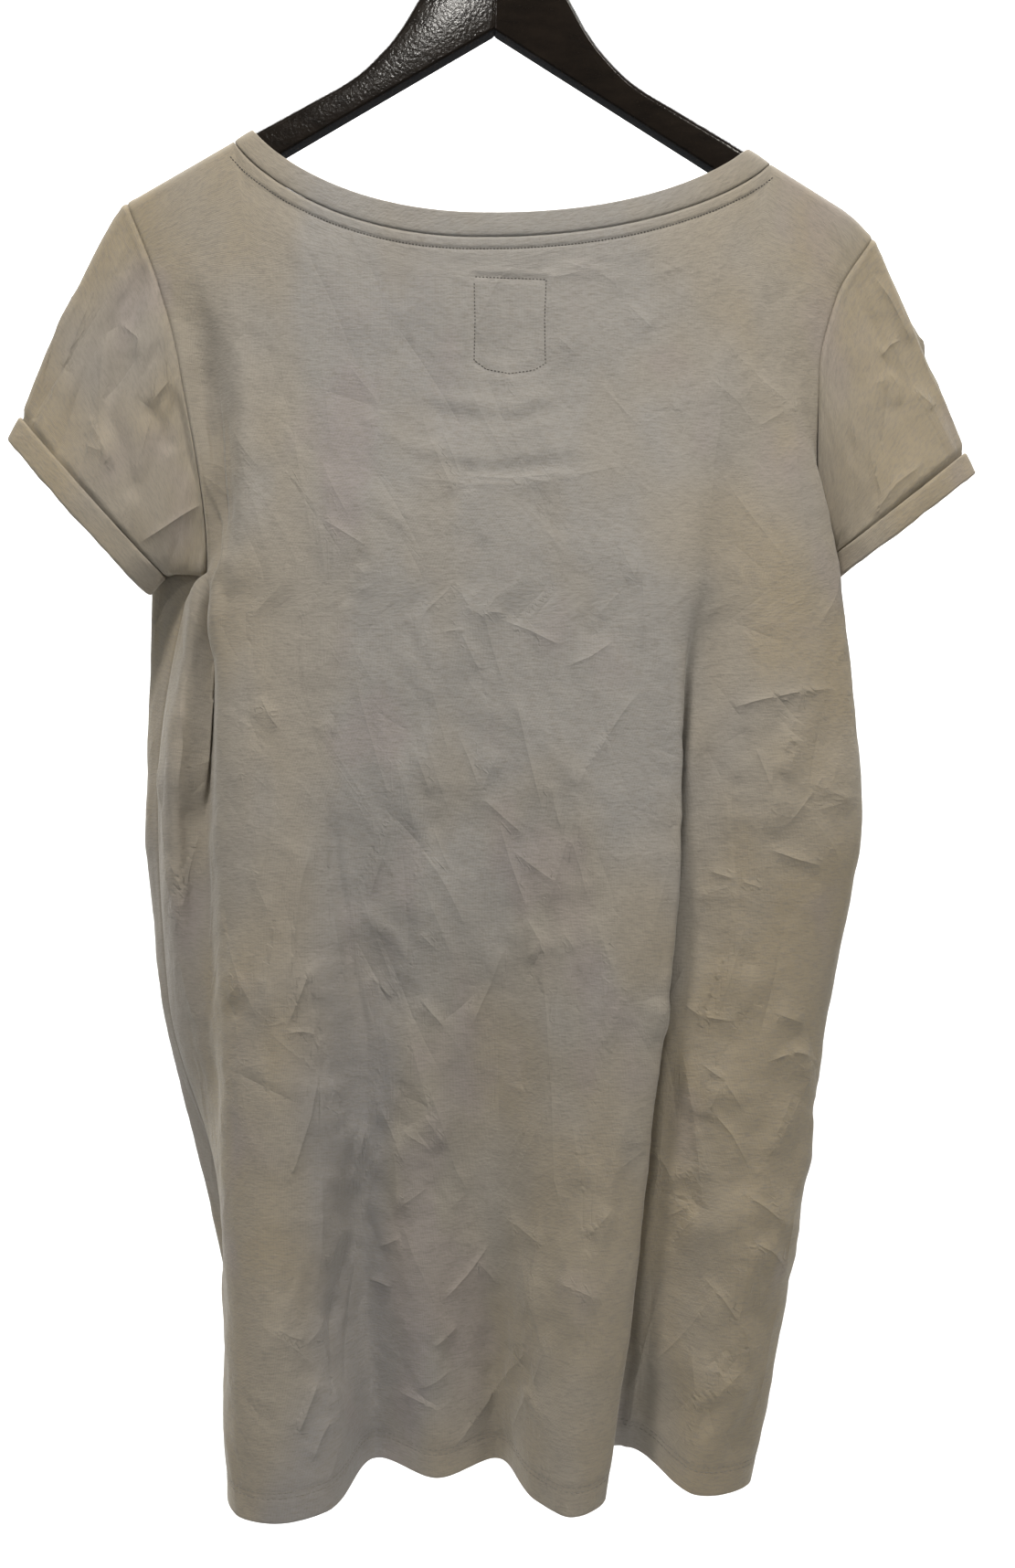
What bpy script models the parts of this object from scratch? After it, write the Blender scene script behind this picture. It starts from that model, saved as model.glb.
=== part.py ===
"""T-shirt dress hanging on a wooden clothes hanger.

The origin is the inside top of the hanger's hook.  +Z is up, the back of the dress faces -Y and +X is
to the right of someone who looks at that back.  Sizes are in millimetres, and heights in the tables
are drops below the hanger's apex, the lowest point of its underside at the middle.
"""
import math

import bmesh
import bpy
import numpy as np

MM = 0.001

# ---- cloth ------------------------------------------------------------------------------------
WALL = 1.2              # one layer of jersey with its nap
HEM_WALL = 2.2          # body hem, turned up inside
HEM_HEIGHT = 16.0
BAND_WALL = 1.8         # neckband, doubled
CUFF_WALL = 2.6         # sleeve end, turned up outside
CUFF_STAND = 1.0        # how far a cuff stands proud of its sleeve
SEAM_GAP = 0.3          # between pieces that are sewn together
SEAT_GAP = 0.85         # between the cloth and the hanger that carries it, at least 0.3 at the facets

# ---- hanger -----------------------------------------------------------------------------------
APEX_Z = -126.0         # apex below the hook's seat
ARM_REACH = 222.0       # centre to arm end
ARM_THICK = 14.0
ARM_SWEEP = math.radians(5.0)    # each arm leans towards the front
UNDERSIDE_SLOPE = 0.572
UNDERSIDE_ROUND = 2.6    # how far the rounded apex hangs below that height
ARM_SLOPE = 0.565       # upper edge beyond the last row of HANGER_TOP
TOP_ROUND = 6.4         # corner radius of the upper edge
UNDER_ROUND = 1.6
NOSE = 11.0             # length of the rounded arm end
HANGER_TOP = (          # upper edge: distance from the centre, height above the apex
    (0.0, 58.0),
    (14.0, 56.5),
    (26.0, 50.0),
    (36.0, 37.5),
    (47.0, 19.5),
    (57.0, 2.5),
    (66.0, -9.5),
    (86.0, -28.5),
    (116.0, -45.5),
    (146.0, -61.5),
)

# ---- hook -------------------------------------------------------------------------------------
WIRE = 4.0
HOOK_INNER = 20.0       # radius of the bend, takes a 32 mm rod
HOOK_TIP = math.radians(-25.0)
HOOK_TURN = math.radians(225.0)  # where the bend gives way to the neck
NECK_BEND = 20.0
STEM_SEAT = 24.0        # length of the stem inside the wood
STEM_BORE = 4.8

# ---- neckline ---------------------------------------------------------------------------------
# centre x, drop at the centre, x of the left and the right end on the arms, lift over the cloth there,
# and how round the curve is: 1 is a parabola, 0.5 an ellipse
NECK_CURVES = {
    "back_seam": (-10.0, 133.5, -162.5, 175.5, 0.0, 0.78),
    "back_edge": (-5.0, 118.5, -151.0, 161.0, 1.0, 0.78),
    "front_seam": (2.0, 205.0, -162.5, 175.5, 0.0, 1.0),
    "front_edge": (2.0, 190.0, -151.0, 161.0, 1.0, 1.0),
}

# ---- body -------------------------------------------------------------------------------------
# Drops of the levels below the apex.  The first level, the top edge, follows shoulder and neck.  The
# next two are open: there the armholes part back from front.
OPEN_DROPS = {"back": (160.0, 209.0), "front": (235.0, 275.0)}
CLOSED_DROPS = (340.0, 372.0, 476.0, 607.0, 749.0, 887.0)   # armpit, underarm, waist, hip, thigh, hem

# A row for each fold line from the left side seam to the right one: x at the top edge, yoke and chest,
# then (x, y) at the armpit and below, with a lift where the line stands higher than its level, and last
# how much lower the hem hangs there.
BACK_FOLDS = (
    ("side_left", -230, -208, -194,
     (-175, 16), (-191, 26, 12), (-206, 30), (-197, 30), (-154, 38), (-124, 30), 12),
    ("strip_left", -217, -199, -188,
     (-170, 10), (-179, 6, 8), (-188, 2), (-177, 3), (-155, 16), (-140, 6), 14),
    ("tuck_left", -206, -190, -181,
     (-165, 3), (-168, 18), (-171, 13), (-162, -6), (-153, -8), (-145, -22), 18),
    ("edge_left", -190, -177, -170,
     (-158, -6), (-161, -8), (-158, -16), (-150, -26), (-147, -30), (-134, -47), 20),
    ("ridge_a", -162.5, -148, -140,
     (-128, -18), (-127, -20), (-124, -30), (-118, -38), (-120, -46), (-111, -57), 20),
    ("flank_a", -135, -124, -117,
     (-106, -22), (-105, -24), (-101, -30), (-94, -32), (-93, -32), (-82, -48), 16),
    ("valley_1", -106, -97, -92,
     (-83, -26), (-81, -27), (-77, -29), (-68, -22), (-66, -8), (-56, -2), 1),
    ("ridge_b", -52, -46, -43,
     (-38, -30), (-37, -31), (-35, -34), (-33, -31), (-32, -22), (-18, -19), 6),
    ("valley_2", 8, 10, 12,
     (17, -32), (18, -33), (20, -35), (15, -27), (12, -12), (19, -1), 0),
    ("flank_c", 44, 45, 46,
     (51, -31), (51, -33), (52, -38), (44, -38), (42, -36), (44, -42), 10),
    ("ridge_c", 82, 80, 79,
     (84, -30), (84, -33), (84, -41), (73, -47), (68, -50), (63, -54), 14),
    ("edge_right", 130, 123, 121,
     (131, -26), (124, -29), (120, -35), (111, -40), (100, -38), (84, -40), 9),
    ("under_right", 154, 144, 139,
     (139, -19), (130, -22), (107, -23), (96, -23), (85, -20), (76, -16), -8),
    ("tuck_right", 175.5, 161, 154,
     (150, -14), (143, -16), (131, -19), (122, -18), (111, -13), (100, 0), -9),
    ("ridge_d", 199, 184, 177,
     (180, -16), (179, -19), (175, -25), (161, -27), (153, -28), (139, -30), 9),
    ("bulge_right", 220, 203, 195,
     (221, 8, 14), (226, 4), (238, 2), (218, 0), (201, 0), (175, -6), 11),
    ("side_right", 241.5, 218, 208,
     (211, 28, 19), (218, 33, 11), (229, 36), (210, 34), (192, 34), (172, 32), 10),
)
FRONT_FOLDS = (
    ("side_left", -230, -192, -183),
    ("front_bulge_left", -211, -180, -172,
     (-178, 31), (-213, 45, 24), (-216, 50), (-204, 52), (-170, 57), (-128, 62), 8),
    ("front_ridge_1", -184, -159, -153,
     (-158, 57), (-170, 64), (-174, 74), (-156, 82), (-126, 90), (-98, 92), 12),
    ("front_valley_1", -162.5, -114, -110,
     (-110, 64), (-112, 66), (-114, 68), (-102, 66), (-78, 58), (-62, 52), 2),
    ("front_ridge_2", -86, -56, -53,
     (-52, 69), (-53, 73), (-54, 81), (-50, 88), (-38, 92), (-26, 90), 8),
    ("front_valley_2", 2, 2, 2,
     (3, 69), (4, 71), (6, 74), (10, 70), (16, 60), (20, 54), 0),
    ("front_ridge_3", 92, 60, 57,
     (60, 67), (62, 71), (64, 80), (68, 88), (66, 94), (66, 96), 10),
    ("front_valley_3", 175.5, 122, 116,
     (118, 60), (120, 62), (122, 66), (118, 64), (112, 58), (106, 52), 0),
    ("front_ridge_4", 207, 168, 163,
     (180, 54, 12), (184, 58, 4), (186, 66), (172, 72), (156, 76), (144, 76), 8),
    ("side_right", 241.5, 204, 205),
)
LEFT_NECK_POINT = -162.5
RIGHT_NECK_POINT = 175.5
DROOP_FROM = 220.0      # the shoulder sags beyond this distance from the centre
DROOP = 0.0145

# how far the hanging cloth stands from the middle plane at the chest: centre, change to the sides
CHEST_BACK = (-17.0, 25.0)
CHEST_FRONT = (60.0, -16.0)
CHEST_HALF = 200.0
CHEST_MIDDLE = 7.0

BACK_COLUMNS = (2, 2, 2, 3, 2, 3, 4, 4, 3, 3, 3, 3, 3, 4, 4, 3)   # cells between fold lines
FRONT_COLUMNS = (3, 3, 3, 3, 4, 4, 3, 3, 3)
NECK_POINT_STEPS = (0.8, 2.8, 6.3)                           # extra columns beside a neck point
ROLL_DROPS = (0.0, 1.2, 4.4, 8.8)                            # rows over the rounded arm
LEVEL_ROWS = (2, 2, 4, 1, 3, 3, 3, 3)                        # cells from level to level
CHEST_ROW = len(ROLL_DROPS) - 1 + LEVEL_ROWS[0] + LEVEL_ROWS[1]
ARMPIT_ROW = CHEST_ROW + LEVEL_ROWS[2]

# ---- sleeves ----------------------------------------------------------------------------------
# centre (x, y, drop), half length and direction of the loop in the x-z plane, half depth
SLEEVES = {
    "left": {
        "crease": ((-249.0, 22.0, 292.0), 67.5, (94.0, -100.0), 30.0),
        "end": ((-258.0, 23.0, 305.0), 66.0, (89.0, -94.0), 31.0),
    },
    "right": {
        "crease": ((263.5, 28.0, 286.0), 52.5, (-83.0, -68.0), 28.0),
        "end": ((267.5, 29.0, 300.0), 55.5, (-87.0, -69.0), 29.0),
    },
}
SLEEVE_ROWS = 6
SLEEVE_PULL = 0.55      # how straight the sleeve leaves its two ends

COTTON = (0.36, 0.33, 0.29, 1.0)
PAINTED_WOOD = (0.012, 0.009, 0.006, 1.0)
STEEL = (0.55, 0.55, 0.55, 1.0)


def clear_scene():
    for scene_object in list(bpy.data.objects):
        bpy.data.objects.remove(scene_object, do_unlink=True)


def material(name, colour, roughness, metallic):
    made = bpy.data.materials.new(name)
    made.use_nodes = True
    shader = made.node_tree.nodes["Principled BSDF"]
    shader.inputs["Base Color"].default_value = colour
    shader.inputs["Roughness"].default_value = roughness
    shader.inputs["Metallic"].default_value = metallic
    return made


def unit(vector):
    length = np.linalg.norm(vector, axis=-1, keepdims=True)
    return vector / np.maximum(length, 1e-9)


# ---- curves -----------------------------------------------------------------------------------
def hermite(p0, p1, m0, m1, t):
    a = 2 * t**3 - 3 * t**2 + 1
    b = t**3 - 2 * t**2 + t
    c = -2 * t**3 + 3 * t**2
    d = t**3 - t**2
    return a * p0 + b * m0 + c * p1 + d * m1


def slopes(values, steps):
    """Slope at each point of a smooth curve; values has a row a point, steps the spacing."""
    chords = (values[1:] - values[:-1]) / steps[:, None]
    result = np.empty_like(values)
    weight = steps[1:] / (steps[1:] + steps[:-1])
    result[1:-1] = weight[:, None] * chords[:-1] + (1 - weight)[:, None] * chords[1:]
    result[0] = chords[0]
    result[-1] = chords[-1]
    return result


class Curve:
    """Smooth curve through points; position k + t lies between points k and k + 1."""

    def __init__(self, points, closed):
        self.points = np.array(points, float)
        self.closed = closed
        self.count = len(points)
        wrapped = self.points
        if closed:
            wrapped = np.vstack((self.points[-2:], self.points, self.points[:3]))
        steps = np.linalg.norm(wrapped[1:] - wrapped[:-1], axis=1)
        tangent = slopes(wrapped, steps)
        if closed:
            tangent = tangent[2:-3]
            steps = steps[2:-2]
        self.tangent = tangent
        self.steps = steps

    def at(self, position):
        k = math.floor(position)
        t = position - k
        if self.closed:
            k %= self.count
            following = (k + 1) % self.count
        else:
            if position < 0:
                return self.points[0] + self.tangent[0] * self.steps[0] * position
            last = self.count - 1
            if position > last:
                return self.points[last] + self.tangent[last] * self.steps[-1] * (position - last)
            k = min(k, last - 1)
            t = position - k
            following = k + 1
        step = self.steps[k]
        return hermite(self.points[k], self.points[following],
                       self.tangent[k] * step, self.tangent[following] * step, t)


def level_slopes(values, steps):
    """Slopes that never carry the curve beyond the values on both sides."""
    chords = (values[1:] - values[:-1]) / steps[:, None]
    before, after = chords[:-1], chords[1:]
    turning = before * after <= 0
    total = np.where(turning, 1.0, before + after)
    middle = np.where(turning, 0.0, 2 * before * after / total)
    return np.vstack((chords[:1], middle, chords[-1:]))


def through(knots, values, wanted):
    """Values of a smooth curve at the wanted knots; knots fall or rise all the way."""
    knots = np.array(knots, float)
    values = np.array(values, float)
    steps = knots[1:] - knots[:-1]
    slope = level_slopes(values, steps)
    result = []
    for knot in wanted:
        inside = np.where((knots[:-1] - knot) * (knots[1:] - knot) <= 0)[0]
        k = int(inside[0]) if len(inside) else (0 if abs(knot - knots[0]) < abs(knot - knots[-1])
                                               else len(steps) - 1)
        t = (knot - knots[k]) / steps[k]
        result.append(hermite(values[k], values[k + 1], slope[k] * steps[k], slope[k + 1] * steps[k], t))
    return np.array(result)


# ---- hanger's form ----------------------------------------------------------------------------
def arm_top(x):
    distance = abs(x)
    reach, height = HANGER_TOP[-1]
    if distance >= reach:
        return height - (distance - reach) * ARM_SLOPE
    knots = [row[0] for row in HANGER_TOP]
    heights = [[row[1]] for row in HANGER_TOP]
    return float(through(knots, heights, [distance])[0][0])


def arm_middle(x):
    return abs(x) * math.tan(ARM_SWEEP)


def shoulder_top(x):
    """Height of the cloth's outer face where it lies on the arm."""
    seat = (SEAT_GAP + WALL) / math.cos(math.atan(ARM_SLOPE))
    sag = DROOP * max(0.0, abs(x) - DROOP_FROM) ** 2 if x > 0 else 0.0
    return arm_top(x) + seat - sag


def neck_height(curve, x):
    centre, drop, left, right, lift, roundness = NECK_CURVES[curve]
    end = left if x < centre else right
    rise = shoulder_top(end) + lift + drop
    share = min(1.0, (x - centre) / (end - centre))
    return -drop + rise * (1 - (1 - share**2) ** roundness)


def hanging_depth(x, z, side):
    """Depth y of the cloth's outer face above the chest: over the arm, then down to the chest."""
    sign = -1 if side == "back" else 1
    centre, change = CHEST_BACK if side == "back" else CHEST_FRONT
    chest = centre + change * ((x - CHEST_MIDDLE) / CHEST_HALF) ** 2
    roll = ARM_THICK / 2 + SEAT_GAP + WALL
    below = max(0.0, shoulder_top(x) - z)
    if below < roll:
        return arm_middle(x) + sign * math.sqrt(roll**2 - (roll - below) ** 2)
    chest_below = shoulder_top(x) + OPEN_DROPS[side][-1]
    share = min(1.0, (below - roll) / (chest_below - roll))
    return (1 - share) * (arm_middle(x) + sign * roll) + share * chest


def hanging_normal(x, y, z, side):
    """Normal into the garment at a point of the cloth above the chest."""
    sign = -1 if side == "back" else 1
    roll = ARM_THICK / 2 + SEAT_GAP + WALL
    step = 1.0
    below = max(0.0, shoulder_top(x) - z)
    if below < roll:
        fall = (shoulder_top(x + step) - shoulder_top(x - step)) / (2 * step)
        sweep = math.copysign(math.tan(ARM_SWEEP), x)
        aside = y - arm_middle(x)
        upward = roll - below
        outward = (-aside * sweep - upward * fall, aside, upward)
    else:
        across = (hanging_depth(x + step, z, side) - hanging_depth(x - step, z, side)) / (2 * step)
        down = (hanging_depth(x, z, side) - hanging_depth(x, z - step, side)) / step
        outward = (-sign * across, sign, -sign * down)
    return -unit(np.array(outward))


# ---- body panels ------------------------------------------------------------------------------
def top_height(x, side):
    if LEFT_NECK_POINT <= x <= RIGHT_NECK_POINT:
        return neck_height(side + "_seam", x)
    return shoulder_top(x)


def open_level(folds, level, side):
    points = []
    for row in folds:
        x = row[1 + level]
        z = top_height(x, side) if level == 0 else -OPEN_DROPS[side][level - 1]
        points.append((x, hanging_depth(x, z, side), z))
    return points


def closed_level(folds, level):
    points = []
    for row in folds:
        x, y, lift = (*row[4 + level], 0)[:3]
        hem_drop = row[-1] if level == len(CLOSED_DROPS) - 1 else 0
        points.append((x, y, lift - CLOSED_DROPS[level] - hem_drop))
    return points


def body_levels():
    """Curves for back and front, from the top edge to the hem, in ring order."""
    front_folds = FRONT_FOLDS[::-1]
    back = [Curve(open_level(BACK_FOLDS, level, "back"), False) for level in range(3)]
    front = [Curve(open_level(front_folds, level, "front"), False) for level in range(3)]
    for level in range(len(CLOSED_DROPS)):
        ring = Curve(closed_level(BACK_FOLDS, level) + closed_level(front_folds[1:-1], level), True)
        back.append(ring)
        front.append(ring)
    return back, front


def column_positions(folds, cells):
    """Places of the columns along the fold lines, closer where the neckline rolls over an arm."""
    positions = [-0.04]
    tops = [row[1] for row in folds]
    for segment, count in enumerate(cells):
        width = abs(tops[segment + 1] - tops[segment])
        neck_ends = [end for end in (0, 1) if tops[segment + end] in (LEFT_NECK_POINT, RIGHT_NECK_POINT)]
        in_neck = LEFT_NECK_POINT < (tops[segment] + tops[segment + 1]) / 2 < RIGHT_NECK_POINT
        if in_neck and neck_ends:
            near = [step / width for step in NECK_POINT_STEPS]
            rest = [near[-1] + (1 - near[-1]) * step / count for step in range(1, count)]
            shares = [0.0] + near + rest
            if neck_ends[0]:
                shares = [0.0] + [1 - share for share in shares[:0:-1]]
        else:
            shares = [step / count for step in range(count)]
        positions += [segment + share for share in shares]
    return positions + [len(cells), len(cells) + 0.04]


def row_heights(points):
    """Heights of the rows on one column, from its points at the levels."""
    heights = [points[0][2] - drop for drop in ROLL_DROPS]
    start = heights[-1]
    for count, point in zip(LEVEL_ROWS, points[1:]):
        end = point[2]
        heights += [start + (end - start) * (step + 1) / count for step in range(count)]
        start = end
    heights.insert(-1, heights[-1] + HEM_HEIGHT)
    return heights


def panel_grid(levels, folds, cells, side, offset):
    """Outer face as rows by columns, with a spare column beyond each edge."""
    chest = -OPEN_DROPS[side][-1]
    columns = []
    for position in column_positions(folds, cells):
        points = [curve.at(position + (offset if curve.closed else 0)) for curve in levels]
        top = points[0]
        top[2] = top_height(top[0], side)
        top[1] = hanging_depth(top[0], top[2], side)
        heights = row_heights(points)
        placed = through([point[2] for point in points], [point[:2] for point in points], heights)
        column = []
        for (x, y), z in zip(placed, heights):
            depth = hanging_depth(x, z, side) if z > chest else y
            column.append((x, depth, z))
        columns.append(column)
    return np.array(columns).transpose(1, 0, 2)


def inward_normals(grid, closed=False):
    """Normals into the garment for a grid whose rows run down and whose columns follow the ring."""
    if closed:
        along = unit(np.roll(grid, -1, axis=1) - grid) + unit(grid - np.roll(grid, 1, axis=1))
    else:
        step = unit(grid[:, 1:] - grid[:, :-1])
        along = np.concatenate((step[:, :1], step[:, :-1] + step[:, 1:], step[:, -1:]), axis=1)
    fall = unit(grid[1:] - grid[:-1])
    down = np.concatenate((fall[:1], fall[:-1] + fall[1:], fall[-1:]), axis=0)
    return unit(np.cross(along, down))


def panel_normals(grid, side):
    """Normals of a panel grid with spare columns; both panels agree along their side seams."""
    normals = inward_normals(grid)
    normals[:, 1] = inward_normals(grid[:, :2])[:, 0]
    normals[:, -2] = inward_normals(grid[:, -2:])[:, 0]
    for row in range(CHEST_ROW):
        normals[row] = [hanging_normal(x, y, z, side) for x, y, z in grid[row]]
    for edge in (1, -2):
        for row in range(CHEST_ROW, ARMPIT_ROW):
            share = (row - CHEST_ROW + 1) / (ARMPIT_ROW - CHEST_ROW)
            mixed = (1 - share) * normals[row, edge] + share * normals[ARMPIT_ROW, edge]
            normals[row, edge] = unit(mixed)
    return normals[:, 1:-1]


def pull_in(grid, gap):
    """Move the upper and side edges of a grid inwards by half a seam gap."""
    moved = grid.copy()
    moved[0] += unit(grid[1] - grid[0]) * gap
    moved[:, 0] += unit(grid[:, 1] - grid[:, 0]) * gap
    moved[:, -1] += unit(grid[:, -2] - grid[:, -1]) * gap
    return moved


# ---- meshes -----------------------------------------------------------------------------------
def add_object(name, vertices, faces, finish):
    mesh = bpy.data.meshes.new(name)
    mesh.from_pydata([tuple(np.array(v) * MM) for v in vertices], [], faces)
    shaper = bmesh.new()
    shaper.from_mesh(mesh)
    bmesh.ops.recalc_face_normals(shaper, faces=shaper.faces)
    shaper.to_mesh(mesh)
    shaper.free()
    mesh.materials.append(finish)
    mesh.shade_smooth()
    mesh.set_sharp_from_angle(angle=math.radians(40))
    made = bpy.data.objects.new(name, mesh)
    bpy.context.collection.objects.link(made)
    return made


def add_wall(name, outer, inner, closed, finish):
    """A wall between two grids; closed says that the columns run round a ring."""
    rows, columns = outer.shape[:2]
    outer = outer + (0, 0, APEX_Z)
    inner = inner + (0, 0, APEX_Z)
    vertices = list(outer.reshape(-1, 3)) + list(inner.reshape(-1, 3))
    layer = rows * columns
    faces = []
    spans = columns if closed else columns - 1
    for row in range(rows - 1):
        for column in range(spans):
            following = (column + 1) % columns
            a = row * columns + column
            b = (row + 1) * columns + column
            c = (row + 1) * columns + following
            d = row * columns + following
            faces.append((a, b, c, d))
            faces.append((a + layer, d + layer, c + layer, b + layer))
    for column in range(spans):
        following = (column + 1) % columns
        last = (rows - 1) * columns
        faces.append((column, following, following + layer, column + layer))
        faces.append((last + column, last + column + layer, last + following + layer, last + following))
    if not closed:
        for row in range(rows - 1):
            first = row * columns
            below = first + columns
            faces.append((first, first + layer, below + layer, below))
            end = first + columns - 1
            below_end = end + columns
            faces.append((end, below_end, below_end + layer, end + layer))
    return add_object(name, vertices, faces, finish)


def panel(name, levels, folds, cells, offset):
    """Outer face and inward normals of the back or the front."""
    spare = panel_grid(levels, folds, cells, name, offset)
    return pull_in(spare[:, 1:-1], SEAM_GAP / 2), panel_normals(spare, name)


def build_panel(name, grid, normals, finish):
    thickness = np.full(len(grid), WALL)
    thickness[-2:] = HEM_WALL
    add_wall(name, grid, grid + normals * thickness[:, None, None], False, finish)


# ---- neckband ---------------------------------------------------------------------------------
def edge_point(x, side, share):
    """A point between the neck seam, share 0, and the band's free edge, share 1."""
    centre, _, left, right = NECK_CURVES[side + "_seam"][:4]
    edge_centre, _, edge_left, edge_right = NECK_CURVES[side + "_edge"][:4]
    if x < centre:
        along = (x - centre) / (left - centre)
        edge_x = edge_centre + along * (edge_left - edge_centre)
    else:
        along = (x - centre) / (right - centre)
        edge_x = edge_centre + along * (edge_right - edge_centre)
    seam_z = neck_height(side + "_seam", x)
    edge_z = neck_height(side + "_edge", edge_x)
    at_x = x + share * (edge_x - x)
    at_z = seam_z + share * (edge_z - seam_z)
    return at_x, hanging_depth(at_x, at_z, side), at_z


def neck_columns(grid):
    return [column for column, point in enumerate(grid[0])
            if LEFT_NECK_POINT - 0.5 < point[0] < RIGHT_NECK_POINT + 0.5]


def build_neckband(back, front, finish):
    ring = []
    for side, (grid, normals), (other, other_normals) in (("back", back, front), ("front", front, back)):
        columns = neck_columns(grid)
        corner = neck_columns(other)[-1]
        ring.append((side, (grid[0, columns[0]] + other[0, corner]) / 2,
                     unit(normals[0, columns[0]] + other_normals[0, corner])))
        ring += [(side, grid[0, column], normals[0, column]) for column in columns[1:-1]]
    rows = [[], [], []]
    for side, seam, _ in ring:
        points = [np.array(edge_point(seam[0], side, share)) for share in (1.0, 0.5)]
        rows[0].append(points[0])
        rows[1].append(points[1])
        rows[2].append(seam + unit(points[1] - seam) * SEAM_GAP)
    grid = np.array(rows)
    normals = np.array([[hanging_normal(*point, side) for point, (side, _, _) in zip(row, ring)]
                        for row in rows])
    normals[-1] = [normal for _, _, normal in ring]
    outer = grid - normals * (BAND_WALL - WALL)
    add_wall("neckband", outer, outer + normals * BAND_WALL, True, finish)


# ---- sleeves ----------------------------------------------------------------------------------
def armhole_places(left):
    """The points round an armhole, from the tip over the back to the armpit and up the front."""
    back_edge, front_edge = (0, -1) if left else (-1, 0)
    places = [("back", row, back_edge) for row in range(ARMPIT_ROW + 1)]
    return places + [("front", row, front_edge) for row in range(ARMPIT_ROW - 1, 0, -1)]


def armhole(panels, left):
    """The loop that a sleeve is sewn to: points, inward normals and outward pulls."""
    points, normals, pulls = [], [], []
    for name, row, edge in armhole_places(left):
        grid, panel_normal = panels[name]
        beside = 1 if edge == 0 else -2
        pull = unit(grid[row, edge] - grid[row, beside])
        if row in (0, ARMPIT_ROW):
            other_grid, other_normal = panels["front"]
            other = -1 if edge == 0 else 0
            middle = (grid[row, edge] + other_grid[row, other]) / 2
            normal = unit(panel_normal[row, edge] + other_normal[row, other])
            if row == 0:
                other_beside = -2 if other == -1 else 1
                pull = unit(pull + unit(other_grid[row, other] - other_grid[row, other_beside]))
                points.append(middle + pull * SEAM_GAP)
            else:
                pull = -normal
                normal = np.array((0.0, 0.0, 1.0))
                points.append(middle + (pull + normal) * 2 * SEAM_GAP)
        else:
            normal = panel_normal[row, edge]
            points.append(grid[row, edge] + pull * SEAM_GAP)
        normals.append(normal)
        pulls.append(pull)
    return np.array(points), np.array(normals), np.array(pulls)


def sleeve_loop(row, shares):
    (x, y, drop), half, (run, fall), depth = row
    centre = np.array((x, y, -drop))
    down = unit(np.array((run, 0.0, fall)))
    points = []
    for share in shares:
        angle = 2 * math.pi * share
        fullness = 0.72 - 0.28 * math.cos(angle)
        side = np.array((0.0, -math.sin(angle) * depth * fullness, 0.0))
        points.append(centre - down * half * math.cos(angle) + side)
    return np.array(points)


def loop_shares(points):
    """Share of the way round for each point: the two halves, over back and front, count alike."""
    half = len(points) // 2
    steps = np.linalg.norm(np.roll(points, -1, axis=0) - points, axis=1)
    shares = []
    for first in (0, half):
        lengths = np.concatenate(((0,), np.cumsum(steps[first:first + half])))
        shares += list(0.5 * lengths[:-1] / lengths[-1] + (0.5 if first else 0.0))
    return shares


def build_sleeve(side, panels, finish):
    """Sleeve and cuff; where it joins the panels, the walls of both are mitred."""
    left = side == "left"
    start, start_normals, pulls = armhole(panels, left)
    shares = loop_shares(start)
    crease = sleeve_loop(SLEEVES[side]["crease"], shares)
    end = sleeve_loop(SLEEVES[side]["end"], shares)
    axis = unit(end.mean(axis=0) - crease.mean(axis=0))
    reach = np.linalg.norm(crease - start, axis=1, keepdims=True)
    tipward = np.abs(1 - 2 * np.array(shares))[:, None]
    leave = unit(pulls * tipward * 0.6 + axis) * reach * SLEEVE_PULL
    arrive = unit(axis + unit(crease - start)) * reach * SLEEVE_PULL
    grid = np.array([hermite(start, crease, leave, arrive, row / SLEEVE_ROWS)
                     for row in range(SLEEVE_ROWS + 1)])
    cuff = np.array([crease + axis * SEAM_GAP / 2, end])
    turn = 1 if left else -1
    cuff_normals = inward_normals(cuff, closed=True) * turn
    normals = inward_normals(grid, closed=True) * turn
    mitred = unit(normals[0] + start_normals)
    mitred[ARMPIT_ROW] = start_normals[ARMPIT_ROW]
    normals[0] = mitred
    normals[-1] = cuff_normals[0]
    for normal, (name, row, edge) in zip(mitred, armhole_places(left)):
        if row not in (0, ARMPIT_ROW):
            panels[name][1][row, edge] = normal
    grid[-1] -= axis * SEAM_GAP / 2
    add_wall("sleeve_" + side, grid, grid + normals * WALL, True, finish)
    outer = cuff - cuff_normals * CUFF_STAND
    add_wall("cuff_" + side, outer, outer + cuff_normals * CUFF_WALL, True, finish)


# ---- hanger and hook --------------------------------------------------------------------------
def arm_section(x, shrink):
    """Rounded outline across the arm at x, clockwise; shrink narrows it towards the arm's end."""
    upper = arm_top(x)
    lower = -abs(x) * UNDERSIDE_SLOPE - UNDERSIDE_ROUND
    middle = (upper + lower) / 2
    half_height = (upper - lower) / 2 * shrink
    half_thick = ARM_THICK / 2 * (0.55 + 0.45 * shrink)
    points = []
    for corner_y, corner_z, radius, first in ((1, 1, TOP_ROUND, 90), (1, -1, UNDER_ROUND, 0),
                                              (-1, -1, UNDER_ROUND, -90), (-1, 1, TOP_ROUND, -180)):
        round_off = min(radius, half_thick - 0.2, half_height - 0.2)
        for step in range(4):
            angle = math.radians(first - 30 * step)
            points.append((x,
                           arm_middle(x) + corner_y * (half_thick - round_off) + round_off * math.cos(angle),
                           middle + corner_z * (half_height - round_off) + round_off * math.sin(angle)))
    return points


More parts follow.
